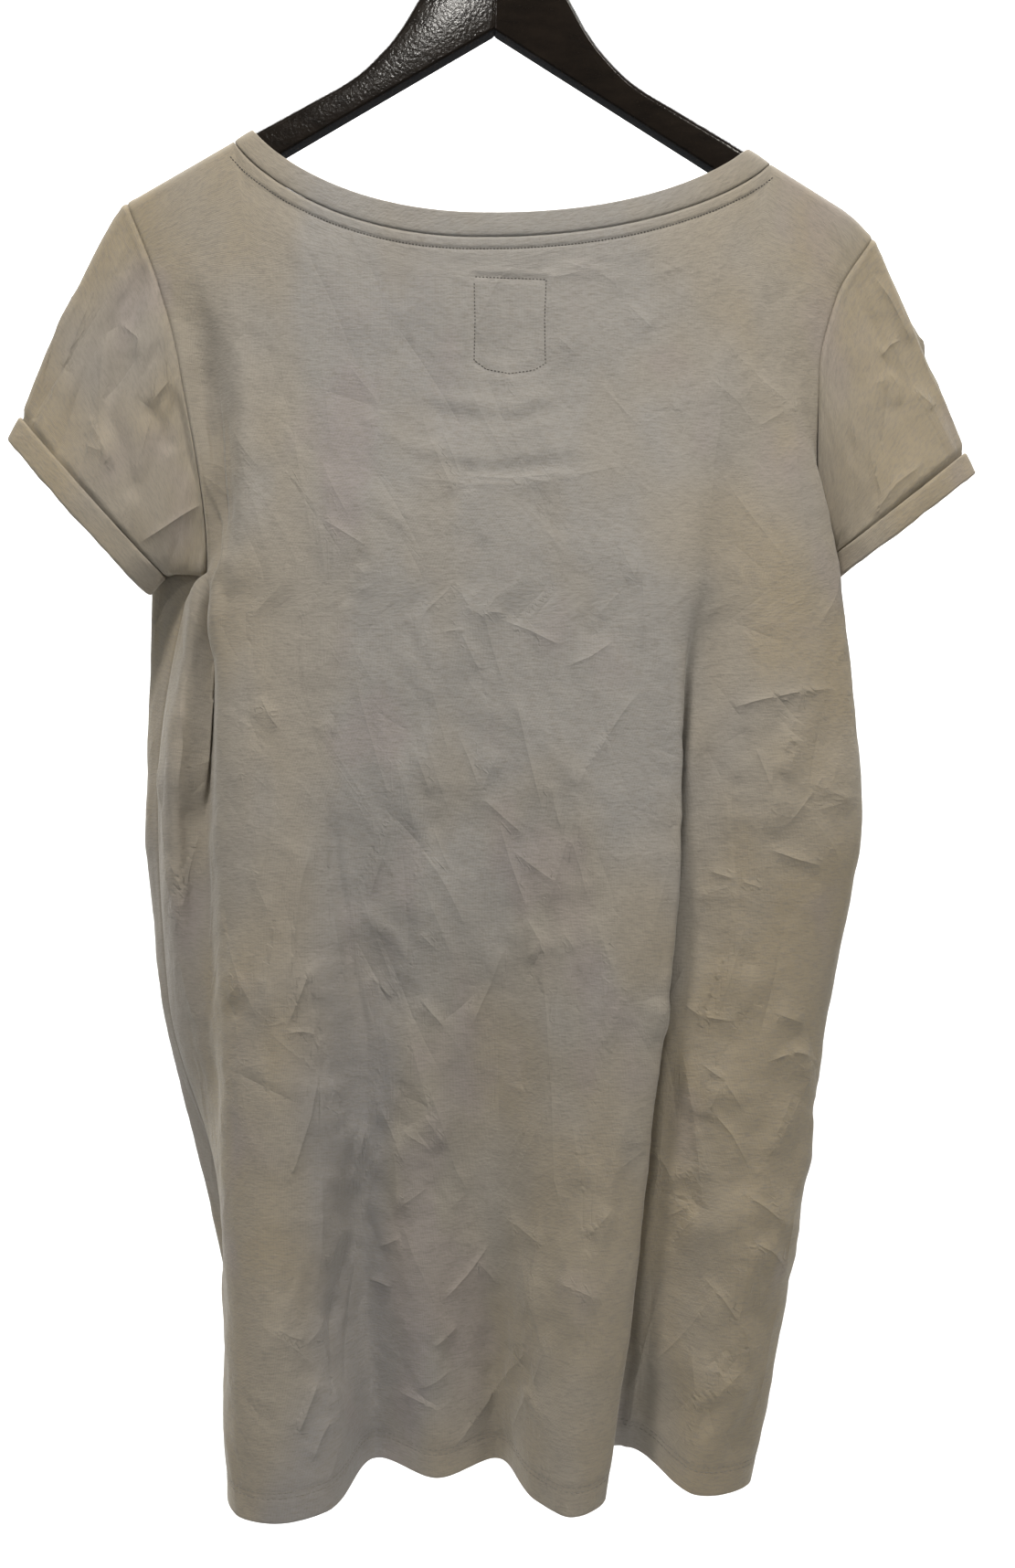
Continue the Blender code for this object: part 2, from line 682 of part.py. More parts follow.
def build_hanger(finish):
    inner = ARM_REACH - NOSE
    stations = [(x, 1.0) for x in (0, 8, 16, 24, 31, 38, 46, 54, 64, 76, 94, 120, 160, inner)]
    for angle in (30, 55, 75, 90):
        turn = math.radians(angle)
        stations.append((inner + NOSE * math.sin(turn), 0.12 + 0.88 * math.cos(turn)))
    stations = [(-x, shrink) for x, shrink in stations[:0:-1]] + stations
    sections = [arm_section(x, shrink) for x, shrink in stations]
    count = len(sections[0])
    vertices = [(x, y, z + APEX_Z) for section in sections for x, y, z in section]
    faces = [tuple(range(count)), tuple(range(len(vertices) - count, len(vertices)))]
    for station in range(len(sections) - 1):
        base = station * count
        for point in range(count):
            following = (point + 1) % count
            faces.append((base + point, base + following, base + count + following, base + count + point))
    hanger = add_object("hanger", vertices, faces, finish)
    top = APEX_Z + HANGER_TOP[0][1]
    bpy.ops.mesh.primitive_cylinder_add(
        vertices=16, radius=STEM_BORE / 2 * MM, depth=2 * (STEM_SEAT + 1) * MM, location=(0, 0, top * MM))
    cutter = bpy.context.object
    cutter.name = "stem_bore_cutter"
    cutter.display_type = "WIRE"
    cutter.hide_render = True
    bore = hanger.modifiers.new("stem bore", "BOOLEAN")
    bore.operation = "DIFFERENCE"
    bore.solver = "EXACT"
    bore.object = cutter
    return hanger


def hook_route():
    """Middle of the wire, from the tip over the bend to the stem's lower end."""
    radius = HOOK_INNER + WIRE / 2
    middle_z = -HOOK_INNER
    steps = 22
    route = []
    for step in range(steps + 1):
        angle = HOOK_TIP + (HOOK_TURN - HOOK_TIP) * step / steps
        route.append((radius * math.cos(angle), middle_z + radius * math.sin(angle)))
    heading = HOOK_TURN - math.pi * 1.5
    down = -math.pi / 2
    sideways = -route[-1][0] - NECK_BEND * (math.sin(heading) - math.sin(down))
    straight = sideways / math.cos(heading)
    x = route[-1][0] + sideways
    z = route[-1][1] + straight * math.sin(heading)
    for step in range(5):
        turned = heading + (down - heading) * step / 4
        route.append((x + NECK_BEND * (math.sin(heading) - math.sin(turned)),
                      z + NECK_BEND * (math.cos(turned) - math.cos(heading))))
    route.append((0.0, APEX_Z + HANGER_TOP[0][1] - STEM_SEAT))
    return route


def build_hook(finish):
    curve = bpy.data.curves.new("hook", "CURVE")
    curve.dimensions = "3D"
    curve.bevel_depth = WIRE / 2 * MM
    curve.bevel_resolution = 3
    curve.use_fill_caps = True
    route = hook_route()
    spline = curve.splines.new("POLY")
    spline.points.add(len(route) - 1)
    for point, (x, z) in zip(spline.points, route):
        point.co = (x * MM, 0.0, z * MM, 1.0)
    curve.materials.append(finish)
    hook = bpy.data.objects.new("hook", curve)
    bpy.context.collection.objects.link(hook)


def main():
    clear_scene()
    cotton = material("jersey", COTTON, 0.9, 0.0)
    back_levels, front_levels = body_levels()
    panels = {
        "back": panel("back", back_levels, BACK_FOLDS, BACK_COLUMNS, 0),
        "front": panel("front", front_levels, FRONT_FOLDS[::-1], FRONT_COLUMNS[::-1], len(BACK_FOLDS) - 1),
    }
    build_neckband(panels["back"], panels["front"], cotton)
    for side in SLEEVES:
        build_sleeve(side, panels, cotton)
    for name, (grid, normals) in panels.items():
        build_panel(name, grid, normals, cotton)
    build_hanger(material("painted_wood", PAINTED_WOOD, 0.3, 0.0))
    build_hook(material("steel", STEEL, 0.25, 1.0))


main()
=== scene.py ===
"""Looks of the T-shirt dress on its wooden hanger.

Form is worked out in millimetres.  Heights are counted from the hanger's apex, the lowest point of its
underside at the middle, as drops or as z.  The back of the dress faces -Y.  Creases are placed on the
picture plane: x to the right and y down, 1111 by 1716, as the camera sees the dress.
"""
import math

import bpy
import numpy as np
from mathutils import Matrix, Vector
from mathutils.bvhtree import BVHTree


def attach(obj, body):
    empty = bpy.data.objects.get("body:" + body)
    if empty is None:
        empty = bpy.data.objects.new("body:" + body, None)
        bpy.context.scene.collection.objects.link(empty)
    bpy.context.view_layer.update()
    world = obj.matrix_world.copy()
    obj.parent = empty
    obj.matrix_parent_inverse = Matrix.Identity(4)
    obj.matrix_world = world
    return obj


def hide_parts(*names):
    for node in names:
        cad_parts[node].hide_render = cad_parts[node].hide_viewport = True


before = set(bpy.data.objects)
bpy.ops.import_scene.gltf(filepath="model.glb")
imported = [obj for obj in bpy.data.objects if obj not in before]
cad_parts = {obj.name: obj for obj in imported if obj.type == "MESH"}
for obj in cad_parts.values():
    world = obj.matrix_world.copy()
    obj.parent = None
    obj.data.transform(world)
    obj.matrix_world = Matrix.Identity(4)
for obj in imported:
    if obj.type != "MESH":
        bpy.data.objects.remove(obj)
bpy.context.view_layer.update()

MM = 0.001

# ---- camera -----------------------------------------------------------------------------------
EYE = (17.3, -1100.0, -595.0)       # mm from the hook's seat
FOCAL = 1936.0                      # focal length in picture units
CENTRE = (555.5, 858.0)             # the picture's middle
PICTURE_HEIGHT = 1716
SENSOR = 36.0                       # mm along the picture's height
ROLL = 0.0192                       # the camera's lean, as a slope
PIXEL = 0.575                       # mm on the cloth for one picture unit

# ---- sizes shared with the solids -------------------------------------------------------------
WALL = 1.2              # one layer of jersey with its nap
BAND_WALL = 1.8         # neckband, doubled
CUFF_WALL = 2.6         # sleeve end, turned up outside
CUFF_STAND = 1.0        # how far a cuff stands proud of its sleeve
SEAT_GAP = 0.85         # between the cloth and the hanger that carries it
APEX_Z = -126.0         # apex below the hook's seat
ARM_REACH = 222.0       # centre to arm end
ARM_THICK = 14.0
ARM_SWEEP = math.radians(5.0)       # each arm leans towards the front
UNDERSIDE_SLOPE = 0.572
UNDERSIDE_ROUND = 2.6   # how far the rounded apex hangs below that height
ARM_SLOPE = 0.565       # upper edge beyond the last row of HANGER_TOP
TOP_ROUND = 6.4         # corner radius of the upper edge
UNDER_ROUND = 1.6
NOSE = 11.0             # length of the rounded arm end
# upper edge: distance from the centre, height above the apex
HANGER_TOP = ((0.0, 58.0), (14.0, 56.5), (26.0, 50.0), (36.0, 37.5), (47.0, 19.5), (57.0, 2.5),
              (66.0, -9.5), (86.0, -28.5), (116.0, -45.5), (146.0, -61.5))
WIRE = 4.0
HOOK_INNER = 20.0       # radius of the bend
HOOK_TIP = math.radians(-25.0)
HOOK_TURN = math.radians(225.0)     # where the bend gives way to the neck
NECK_BEND = 20.0
STEM_SEAT = 24.0        # length of the stem inside the wood

# centre x, drop at the centre, x of the left and the right end on the arms, lift over the cloth there,
# and how round the curve is: 1 is a parabola, 0.5 an ellipse
NECK_CURVES = {
    "back_seam": (-10.0, 133.5, -162.5, 175.5, 0.0, 0.78),
    "back_edge": (-5.0, 118.5, -151.0, 161.0, 1.0, 0.78),
    "front_seam": (2.0, 205.0, -162.5, 175.5, 0.0, 1.0),
    "front_edge": (2.0, 190.0, -151.0, 161.0, 1.0, 1.0),
}

# Drops of the levels below the apex.  The first level, the top edge, follows shoulder and neck.  The
# next two are open: there the armholes part back from front.
OPEN_DROPS = {"back": (160.0, 209.0), "front": (235.0, 275.0)}
CLOSED_DROPS = (340.0, 372.0, 476.0, 607.0, 749.0, 887.0)   # armpit, underarm, waist, hip, thigh, hem

# A row for each fold line from the left side seam to the right one: x at the top edge, yoke and chest,
# then (x, y) at the armpit and below, with a lift where the line stands higher than its level, and last
# how much lower the hem hangs there.
BACK_FOLDS = (
    ("side_left", -230, -208, -194,
     (-175, 16), (-191, 26, 12), (-206, 30), (-197, 30), (-154, 38), (-124, 30), 12),
    ("strip_left", -217, -199, -188,
     (-170, 10), (-179, 6, 8), (-188, 2), (-177, 3), (-155, 16), (-140, 6), 14),
    ("tuck_left", -206, -190, -181,
     (-165, 3), (-168, 18), (-171, 13), (-162, -6), (-153, -8), (-145, -22), 18),
    ("edge_left", -190, -177, -170,
     (-158, -6), (-161, -8), (-158, -16), (-150, -26), (-147, -30), (-134, -47), 20),
    ("ridge_a", -162.5, -148, -140,
     (-128, -18), (-127, -20), (-124, -30), (-118, -38), (-120, -46), (-111, -57), 20),
    ("flank_a", -135, -124, -117,
     (-106, -22), (-105, -24), (-101, -30), (-94, -32), (-93, -32), (-82, -48), 16),
    ("valley_1", -106, -97, -92,
     (-83, -26), (-81, -27), (-77, -29), (-68, -22), (-66, -8), (-56, -2), 1),
    ("ridge_b", -52, -46, -43,
     (-38, -30), (-37, -31), (-35, -34), (-33, -31), (-32, -22), (-18, -19), 6),
    ("valley_2", 8, 10, 12,
     (17, -32), (18, -33), (20, -35), (15, -27), (12, -12), (19, -1), 0),
    ("flank_c", 44, 45, 46,
     (51, -31), (51, -33), (52, -38), (44, -38), (42, -36), (44, -42), 10),
    ("ridge_c", 82, 80, 79,
     (84, -30), (84, -33), (84, -41), (73, -47), (68, -50), (63, -54), 14),
    ("edge_right", 130, 123, 121,
     (131, -26), (124, -29), (120, -35), (111, -40), (100, -38), (84, -40), 9),
    ("under_right", 154, 144, 139,
     (139, -19), (130, -22), (107, -23), (96, -23), (85, -20), (76, -16), -8),
    ("tuck_right", 175.5, 161, 154,
     (150, -14), (143, -16), (131, -19), (122, -18), (111, -13), (100, 0), -9),
    ("ridge_d", 199, 184, 177,
     (180, -16), (179, -19), (175, -25), (161, -27), (153, -28), (139, -30), 9),
    ("bulge_right", 220, 203, 195,
     (221, 8, 14), (226, 4), (238, 2), (218, 0), (201, 0), (175, -6), 11),
    ("side_right", 241.5, 218, 208,
     (211, 28, 19), (218, 33, 11), (229, 36), (210, 34), (192, 34), (172, 32), 10),
)
FRONT_FOLDS = (
    ("side_left", -230, -192, -183),
    ("front_bulge_left", -211, -180, -172,
     (-178, 31), (-213, 45, 24), (-216, 50), (-204, 52), (-170, 57), (-128, 62), 8),
    ("front_ridge_1", -184, -159, -153,
     (-158, 57), (-170, 64), (-174, 74), (-156, 82), (-126, 90), (-98, 92), 12),
    ("front_valley_1", -162.5, -114, -110,
     (-110, 64), (-112, 66), (-114, 68), (-102, 66), (-78, 58), (-62, 52), 2),
    ("front_ridge_2", -86, -56, -53,
     (-52, 69), (-53, 73), (-54, 81), (-50, 88), (-38, 92), (-26, 90), 8),
    ("front_valley_2", 2, 2, 2,
     (3, 69), (4, 71), (6, 74), (10, 70), (16, 60), (20, 54), 0),
    ("front_ridge_3", 92, 60, 57,
     (60, 67), (62, 71), (64, 80), (68, 88), (66, 94), (66, 96), 10),
    ("front_valley_3", 175.5, 122, 116,
     (118, 60), (120, 62), (122, 66), (118, 64), (112, 58), (106, 52), 0),
    ("front_ridge_4", 207, 168, 163,
     (180, 54, 12), (184, 58, 4), (186, 66), (172, 72), (156, 76), (144, 76), 8),
    ("side_right", 241.5, 204, 205),
)
LEFT_NECK_POINT = -162.5
RIGHT_NECK_POINT = 175.5
DROOP_FROM = 220.0      # the right shoulder sags beyond this distance from the centre
DROOP = 0.0145

# how far the hanging cloth stands from the middle plane at the chest: centre, change to the sides
CHEST_BACK = (-17.0, 25.0)
CHEST_FRONT = (60.0, -16.0)
CHEST_HALF = 200.0
CHEST_MIDDLE = 7.0

# centre (x, y, drop), half length and direction of the loop in the x-z plane, half depth
SLEEVES = {
    "left": {
        "crease": ((-249.0, 22.0, 292.0), 67.5, (94.0, -100.0), 30.0),
        "end": ((-258.0, 23.0, 305.0), 66.0, (89.0, -94.0), 31.0),
    },
    "right": {
        "crease": ((263.5, 28.0, 286.0), 52.5, (-83.0, -68.0), 28.0),
        "end": ((267.5, 29.0, 300.0), 55.5, (-87.0, -69.0), 29.0),
    },
}
SLEEVE_PULL = 0.55      # how straight the sleeve leaves its two ends

# ---- the cloth's grids, in mm -----------------------------------------------------------------
CELL = 2.15             # between columns
SIDE_STEPS = (0.45, 0.95, 1.6, 2.5, 3.7)    # columns beside a side edge, a sleeve's rows at the armhole
NECK_POINT_STEPS = (0.8, 2.0, 4.0, 6.3)     # columns beside a neck point
ROLL_DROPS = (0.0, 0.3, 0.7, 1.2, 1.8, 2.6, 3.5, 4.5, 5.5, 6.5, 7.4, 8.3, 9.3, 10.4)   # rows over the arm
LEVEL_ROWS = (15, 20, 48, 13, 40, 50, 54, 45)       # rows from level to level
HEM_ROWS = (16, 22.0)   # rows in the lowest stretch, and its height
ARMPIT_ROW = len(ROLL_DROPS) - 1 + sum(LEVEL_ROWS[:3])
SLEEVE_ROWS = 52
SLEEVE_LENGTH = 90.0    # the length down a sleeve that SIDE_STEPS are taken as shares of
HEM_FOLD = 0.95         # radius of the fold at the hem's lower edge
SEAM_FADE = 12.0        # creases die away towards a seam over this length
NECK_STITCH = 7.4       # below the neckband's seam
HEM_STITCHES = (13.6, 16.6)     # the two rows above the hem's edge
ALLOWANCE = (1.5, 3.0)  # rows and columns of cloth behind a seam, counted from it
BAND_END = 0.5          # how far past a neck point a column still carries the neckband
PANEL_FOLDS = 760       # seeded folds on a panel
SLEEVE_FOLDS = 90
SEEDS = {"back": 5, "front": 205, "sleeve_left": 405, "sleeve_right": 505, "cuff_left": 601,
         "cuff_right": 611, "cuffs_fine": 602, "band_fine": 301, "band_wide": 302, "neck_seam": 701,
         "hem": 702, "label": 77}

# the cloth below the left armpit is pushed up: how far, its middle (x, z), its radii
PUSHED_UP = (10.0, (-202, -346), (24, 10))


# ---- form -------------------------------------------------------------------------------------
def unit(vector):
    """Vectors scaled to a length of 1."""
    length = np.linalg.norm(vector, axis=-1, keepdims=True)
    return vector / np.maximum(length, 1e-9)


def smooth(low, high, value):
    """0 at low, 1 at high and a smooth step between them; low may lie above high."""
    share = np.clip((value - low) / (high - low), 0.0, 1.0)
    return share * share * (3 - 2 * share)


def hermite(p0, p1, m0, m1, t):
    """Point at a share t of the cubic from p0 to p1 that leaves with m0 and arrives with m1."""
    return ((2 * t**3 - 3 * t**2 + 1) * p0 + (t**3 - 2 * t**2 + t) * m0
            + (-2 * t**3 + 3 * t**2) * p1 + (t**3 - t**2) * m1)


class Curve:
    """Smooth curve through points; position k + t lies between points k and k + 1."""

    def __init__(self, points, closed):
        self.points = np.array(points, float)
        self.closed = closed
        self.count = len(points)
        wrapped = self.points
        if closed:
            wrapped = np.vstack((self.points[-2:], self.points, self.points[:3]))
        steps = np.linalg.norm(wrapped[1:] - wrapped[:-1], axis=1)
        chords = (wrapped[1:] - wrapped[:-1]) / steps[:, None]
        tangent = np.empty_like(wrapped)
        weight = steps[1:] / (steps[1:] + steps[:-1])
        tangent[1:-1] = weight[:, None] * chords[:-1] + (1 - weight)[:, None] * chords[1:]
        tangent[0], tangent[-1] = chords[0], chords[-1]
        if closed:
            tangent = tangent[2:-3]
            steps = steps[2:-2]
        self.tangent = tangent
        self.steps = steps

    def at(self, position):
        k = math.floor(position)
        if self.closed:
            t = position - k
            k %= self.count
            following = (k + 1) % self.count
        else:
            k = min(max(k, 0), self.count - 2)
            t = position - k
            following = k + 1
        step = self.steps[k]
        return hermite(self.points[k], self.points[following],
                       self.tangent[k] * step, self.tangent[following] * step, t)


def through(knots, values, wanted):
    """Values at the wanted knots of a smooth curve that never passes beyond its own points."""
    knots = np.array(knots, float)
    values = np.array(values, float)
    wanted = np.array(wanted, float)
    steps = knots[1:] - knots[:-1]
    chords = (values[1:] - values[:-1]) / steps[:, None]
    before, after = chords[:-1], chords[1:]
    turning = before * after <= 0
    total = np.where(turning, 1.0, before + after)
    middle = np.where(turning, 0.0, 2 * before * after / total)
    slope = np.vstack((chords[:1], middle, chords[-1:]))
    way = 1.0 if knots[-1] > knots[0] else -1.0
    k = np.clip(np.searchsorted(way * knots, way * wanted, side="right") - 1, 0, len(steps) - 1)
    t = ((wanted - knots[k]) / steps[k])[:, None]
    step = steps[k][:, None]
    return hermite(values[k], values[k + 1], slope[k] * step, slope[k + 1] * step, t)


ARM_PLACES = np.arange(0.0, 400.0, 0.5)
_knots = [row[0] for row in HANGER_TOP]
_inside = through(_knots, [[row[1]] for row in HANGER_TOP], np.minimum(ARM_PLACES, _knots[-1]))[:, 0]
ARM_HEIGHTS = _inside - np.maximum(0.0, ARM_PLACES - _knots[-1]) * ARM_SLOPE


def arm_top(x):
    """Height of the hanger's upper edge."""
    return np.interp(np.abs(x), ARM_PLACES, ARM_HEIGHTS)


def arm_middle(x):
    """How far the middle of the hanger's arm leans towards the front."""
    return np.abs(x) * math.tan(ARM_SWEEP)


def shoulder_top(x):
    """Height of the cloth's outer face over the arm."""
    seat = (SEAT_GAP + WALL) / math.cos(math.atan(ARM_SLOPE))
    sag = DROOP * np.maximum(0.0, np.abs(x) - DROOP_FROM) ** 2 * (np.asarray(x) > 0)
    return arm_top(x) + seat - sag


def neck_height(curve, x):
    """Height of one of the neck's curves."""
    centre, drop, left, right, lift, roundness = NECK_CURVES[curve]
    end = np.where(np.asarray(x) < centre, left, right)
    rise = shoulder_top(end) + lift + drop
    share = np.minimum(1.0, (x - centre) / (end - centre))
    return -drop + rise * (1 - (1 - share**2) ** roundness)


def hanging_depth(x, z, side):
    """Depth y of the cloth's outer face above the chest: over the arm, then down to the chest."""
    sign = -1 if side == "back" else 1
    centre, change = CHEST_BACK if side == "back" else CHEST_FRONT
    chest = centre + change * ((x - CHEST_MIDDLE) / CHEST_HALF) ** 2
    roll = ARM_THICK / 2 + SEAT_GAP + WALL
    top = shoulder_top(x)
    below = np.maximum(0.0, top - z)
    over = arm_middle(x) + sign * np.sqrt(np.maximum(0.0, roll**2 - (roll - np.minimum(below, roll)) ** 2))
    share = np.clip((below - roll) / (top + OPEN_DROPS[side][-1] - roll), 0.0, 1.0)
    down = (1 - share) * (arm_middle(x) + sign * roll) + share * chest
    return np.where(below < roll, over, down)


def hanging_normal(x, z, side):
    """Normal out of the garment at a point above the chest."""
    step = 0.6
    here = np.array((x, float(hanging_depth(x, z, side)), z))
    top = float(shoulder_top(x))
    roll = ARM_THICK / 2 + SEAT_GAP + WALL
    if top - z < roll:
        fall = float(shoulder_top(x + step) - shoulder_top(x - step)) / (2 * step)
        sweep = math.copysign(math.tan(ARM_SWEEP), x)
        aside = here[1] - float(arm_middle(x))
        upward = roll - max(0.0, top - z)
        return unit(np.array((-aside * sweep - upward * fall, aside, upward)))
    sign = -1 if side == "back" else 1
    across = float(hanging_depth(x + step, z, side) - hanging_depth(x - step, z, side)) / (2 * step)
    down = float(hanging_depth(x, z, side) - hanging_depth(x, z - step, side)) / step
    return unit(np.array((-sign * across, sign, -sign * down)))


def top_height(x, side):
    """Height of a panel's top edge: the neck's seam, and the shoulder beside it."""
    inside = (x >= LEFT_NECK_POINT) & (x <= RIGHT_NECK_POINT)
    return np.where(inside, neck_height(side + "_seam", x), shoulder_top(x))


def open_level(folds, level, side):
    """Points of the fold lines on a level where the armholes part back from front."""
    points = []
    for row in folds:
        x = row[1 + level]
        z = float(top_height(x, side)) if level == 0 else -OPEN_DROPS[side][level - 1]
        points.append((x, float(hanging_depth(x, z, side)), z))
    return points


def closed_level(folds, level):
    """Points of the fold lines on a level below the armholes."""
    points = []
    for row in folds:
        x, y, lift = (*row[4 + level], 0)[:3]
        hem_drop = row[-1] if level == len(CLOSED_DROPS) - 1 else 0
        points.append((x, y, lift - CLOSED_DROPS[level] - hem_drop))
    return points


def body_levels():
    """The levels' curves for the back and for the front; below the armholes both share one ring."""
    front_folds = FRONT_FOLDS[::-1]
    back = [Curve(open_level(BACK_FOLDS, level, "back"), False) for level in range(3)]
    front = [Curve(open_level(front_folds, level, "front"), False) for level in range(3)]
    for level in range(len(CLOSED_DROPS)):
        ring = Curve(closed_level(BACK_FOLDS, level) + closed_level(front_folds[1:-1], level), True)
        back.append(ring)
        front.append(ring)
    return back, front


def column_positions(folds, levels, offset):
    """Places of the columns: about CELL apart on average, closer at the neck points and the side edges."""
    positions = []
    tops = [row[1] for row in folds]
    for segment in range(len(folds) - 1):
        starts = [segment + (offset if curve.closed else 0) for curve in levels]
        spans = [curve.at(start + 1 - 1e-6) - curve.at(start) for curve, start in zip(levels, starts)]
        length = np.mean([np.linalg.norm(span) for span in spans])
        count = max(3, round(length / CELL))
        width = abs(tops[segment + 1] - tops[segment])
        ends = [end for end in (0, 1) if tops[segment + end] in (LEFT_NECK_POINT, RIGHT_NECK_POINT)]
        in_neck = LEFT_NECK_POINT < (tops[segment] + tops[segment + 1]) / 2 < RIGHT_NECK_POINT
        near, at_far_end = [], False
        if in_neck and ends:
            near, at_far_end = [step / width for step in NECK_POINT_STEPS], ends[0] == 1
        elif segment in (0, len(folds) - 2):
            near, at_far_end = [step / length for step in SIDE_STEPS], segment > 0
        reached = near[-1] if near else 0.0
        shares = [0.0] + near + [reached + (1 - reached) * step / count for step in range(1, count)]
        if at_far_end:
            shares = [0.0] + [1 - share for share in shares[:0:-1]]
        positions += [segment + share for share in shares]
    return positions + [len(folds) - 1]


def row_heights(points):
    """Heights of a column's rows, from its points on the levels."""
    heights = [points[0][2] - drop for drop in ROLL_DROPS]
    start = heights[-1]
    stops = [(count, point[2]) for count, point in zip(LEVEL_ROWS, points[1:])]
    hem_count, hem_height = HEM_ROWS
    stops[-1:] = [(stops[-1][0], stops[-1][1] + hem_height), (hem_count, stops[-1][1])]
    for count, stop in stops:
        heights += [start + (stop - start) * (step + 1) / count for step in range(count)]
        start = stop
    return np.array(heights)


def panel_grid(levels, folds, side, offset):
    """A panel's plain form: rows down and columns across; offset is its first fold line on the rings."""
    columns = []
    for position in column_positions(folds, levels, offset):
        points = [curve.at(position + (offset if curve.closed else 0)) for curve in levels]
        top = points[0]
        top[2] = top_height(top[0], side)
        top[1] = hanging_depth(top[0], top[2], side)
        heights = row_heights(points)
        placed = through([point[2] for point in points], [point[:2] for point in points], heights)
        depth = np.where(heights > -OPEN_DROPS[side][-1],
                         hanging_depth(placed[:, 0], heights, side), placed[:, 1])
        columns.append(np.stack((placed[:, 0], depth, heights), axis=1))
    return np.array(columns).transpose(1, 0, 2)


def outward_normals(grid, closed=False, turn=1):
    """Normals out of the garment; rows run down and columns from the left over the back to the right."""
    if closed:
        along = unit(np.roll(grid, -1, axis=1) - grid) + unit(grid - np.roll(grid, 1, axis=1))
    else:
        step = unit(grid[:, 1:] - grid[:, :-1])
        along = np.concatenate((step[:, :1], step[:, :-1] + step[:, 1:], step[:, -1:]), axis=1)
    fall = unit(grid[1:] - grid[:-1])
    down = np.concatenate((fall[:1], fall[:-1] + fall[1:], fall[-1:]), axis=0)
    return -turn * unit(np.cross(along, down))


# ---- creases ----------------------------------------------------------------------------------
def picture(points):
    """Where the camera sees points that are given in mm from the apex."""
    depth = points[..., 1] - EYE[1]
    across = (points[..., 0] - EYE[0]) * FOCAL / depth
    down = (EYE[2] - APEX_Z - points[..., 2]) * FOCAL / depth
    return np.stack((CENTRE[0] + across - ROLL * down, CENTRE[1] + down + ROLL * across), axis=-1)


def along_line(places, line):
    """Distance to a line of points, side of it, and share of the way along it."""
    line = np.array(line, float)
    lengths = np.linalg.norm(line[1:] - line[:-1], axis=1)
    total = lengths.sum()
    best = np.full(places.shape[:-1], 1e9)
    aside = np.zeros_like(best)
    share = np.zeros_like(best)
    done = 0.0
    for start, end, length in zip(line[:-1], line[1:], lengths):
        way = (end - start) / length
        offset = places - start
        t = np.clip(offset @ way, 0.0, length)
        near = offset - t[..., None] * way
        distance = np.linalg.norm(near, axis=-1)
        closer = distance < best
        best = np.where(closer, distance, best)
        aside = np.where(closer, way[0] * offset[..., 1] - way[1] * offset[..., 0], aside)
        share = np.where(closer, (done + t) / total, share)
        done += length
    return best, aside, share


LATTICE = 64            # steps after which the noise repeats


def noise(s, t, seed):
    """Smooth noise from -1 to 1 on a lattice with steps of 1."""
    table = np.random.default_rng(seed).uniform(0, 2 * np.pi, (LATTICE, LATTICE))
    i, j = np.floor(s).astype(int), np.floor(t).astype(int)
    u, v = s - i, t - j
    fade_u = u**3 * (u * (u * 6 - 15) + 10)
    fade_v = v**3 * (v * (v * 6 - 15) + 10)

    def corner(di, dj):
        angle = table[(i + di) % LATTICE, (j + dj) % LATTICE]
        return np.cos(angle) * (u - di) + np.sin(angle) * (v - dj)

    low = corner(0, 0) * (1 - fade_u) + corner(1, 0) * fade_u
    high = corner(0, 1) * (1 - fade_u) + corner(1, 1) * fade_u
    return 1.55 * (low * (1 - fade_v) + high * fade_v)


def bowls(s, t, wide, tall, seed):
    """Shallow dents about as wide and tall as given, with sharp ridges between them; 0 at the deepest."""
    bend_s = s + 0.35 * wide * noise(s / wide, t / tall, seed + 1)
    bend_t = t + 0.35 * tall * noise(s / wide, t / tall, seed + 2)
    u, v = bend_s / wide, bend_t / tall
    i, j = np.floor(u).astype(int), np.floor(v).astype(int)
    place_u, place_v, depth = np.random.default_rng(seed).uniform(0, 1, (3, LATTICE, LATTICE))
    near = np.full(np.shape(u), np.inf)
    for di in (-1, 0, 1):
        for dj in (-1, 0, 1):
            a, b = (i + di) % LATTICE, (j + dj) % LATTICE
            reach = np.hypot(u - i - di - place_u[a, b], v - j - dj - place_v[a, b]) + 0.35 * depth[a, b]
            near = np.minimum(near, reach)
    return np.clip(near, 0, 1.2)


# layers of dents: how far each leans, its width and height, how deep it is, all but the lean in mm
DENTS = ((0.26, 30, 84, 1.6), (-0.34, 26, 62, 1.1), (0.05, 15, 36, 0.5))


def crumple(s, t, seed):
    """Height in mm of the small creases that pressing has not taken out, at full strength."""
    height = np.zeros(np.shape(s))
    for k, (lean, wide, tall, deep) in enumerate(DENTS):
        level = 1 - lean**2 / 2
        near = bowls(s * level + t * lean, t * level - s * lean, wide, tall, seed + 10 * k)
        patch = smooth(-0.35, 0.35, noise(s / 58, t / 72, seed + 10 * k + 5)) if k else 1.0
        height += patch * deep * near**1.25
    return height + 0.16 * noise(s / 9, t / 8, seed + 110)


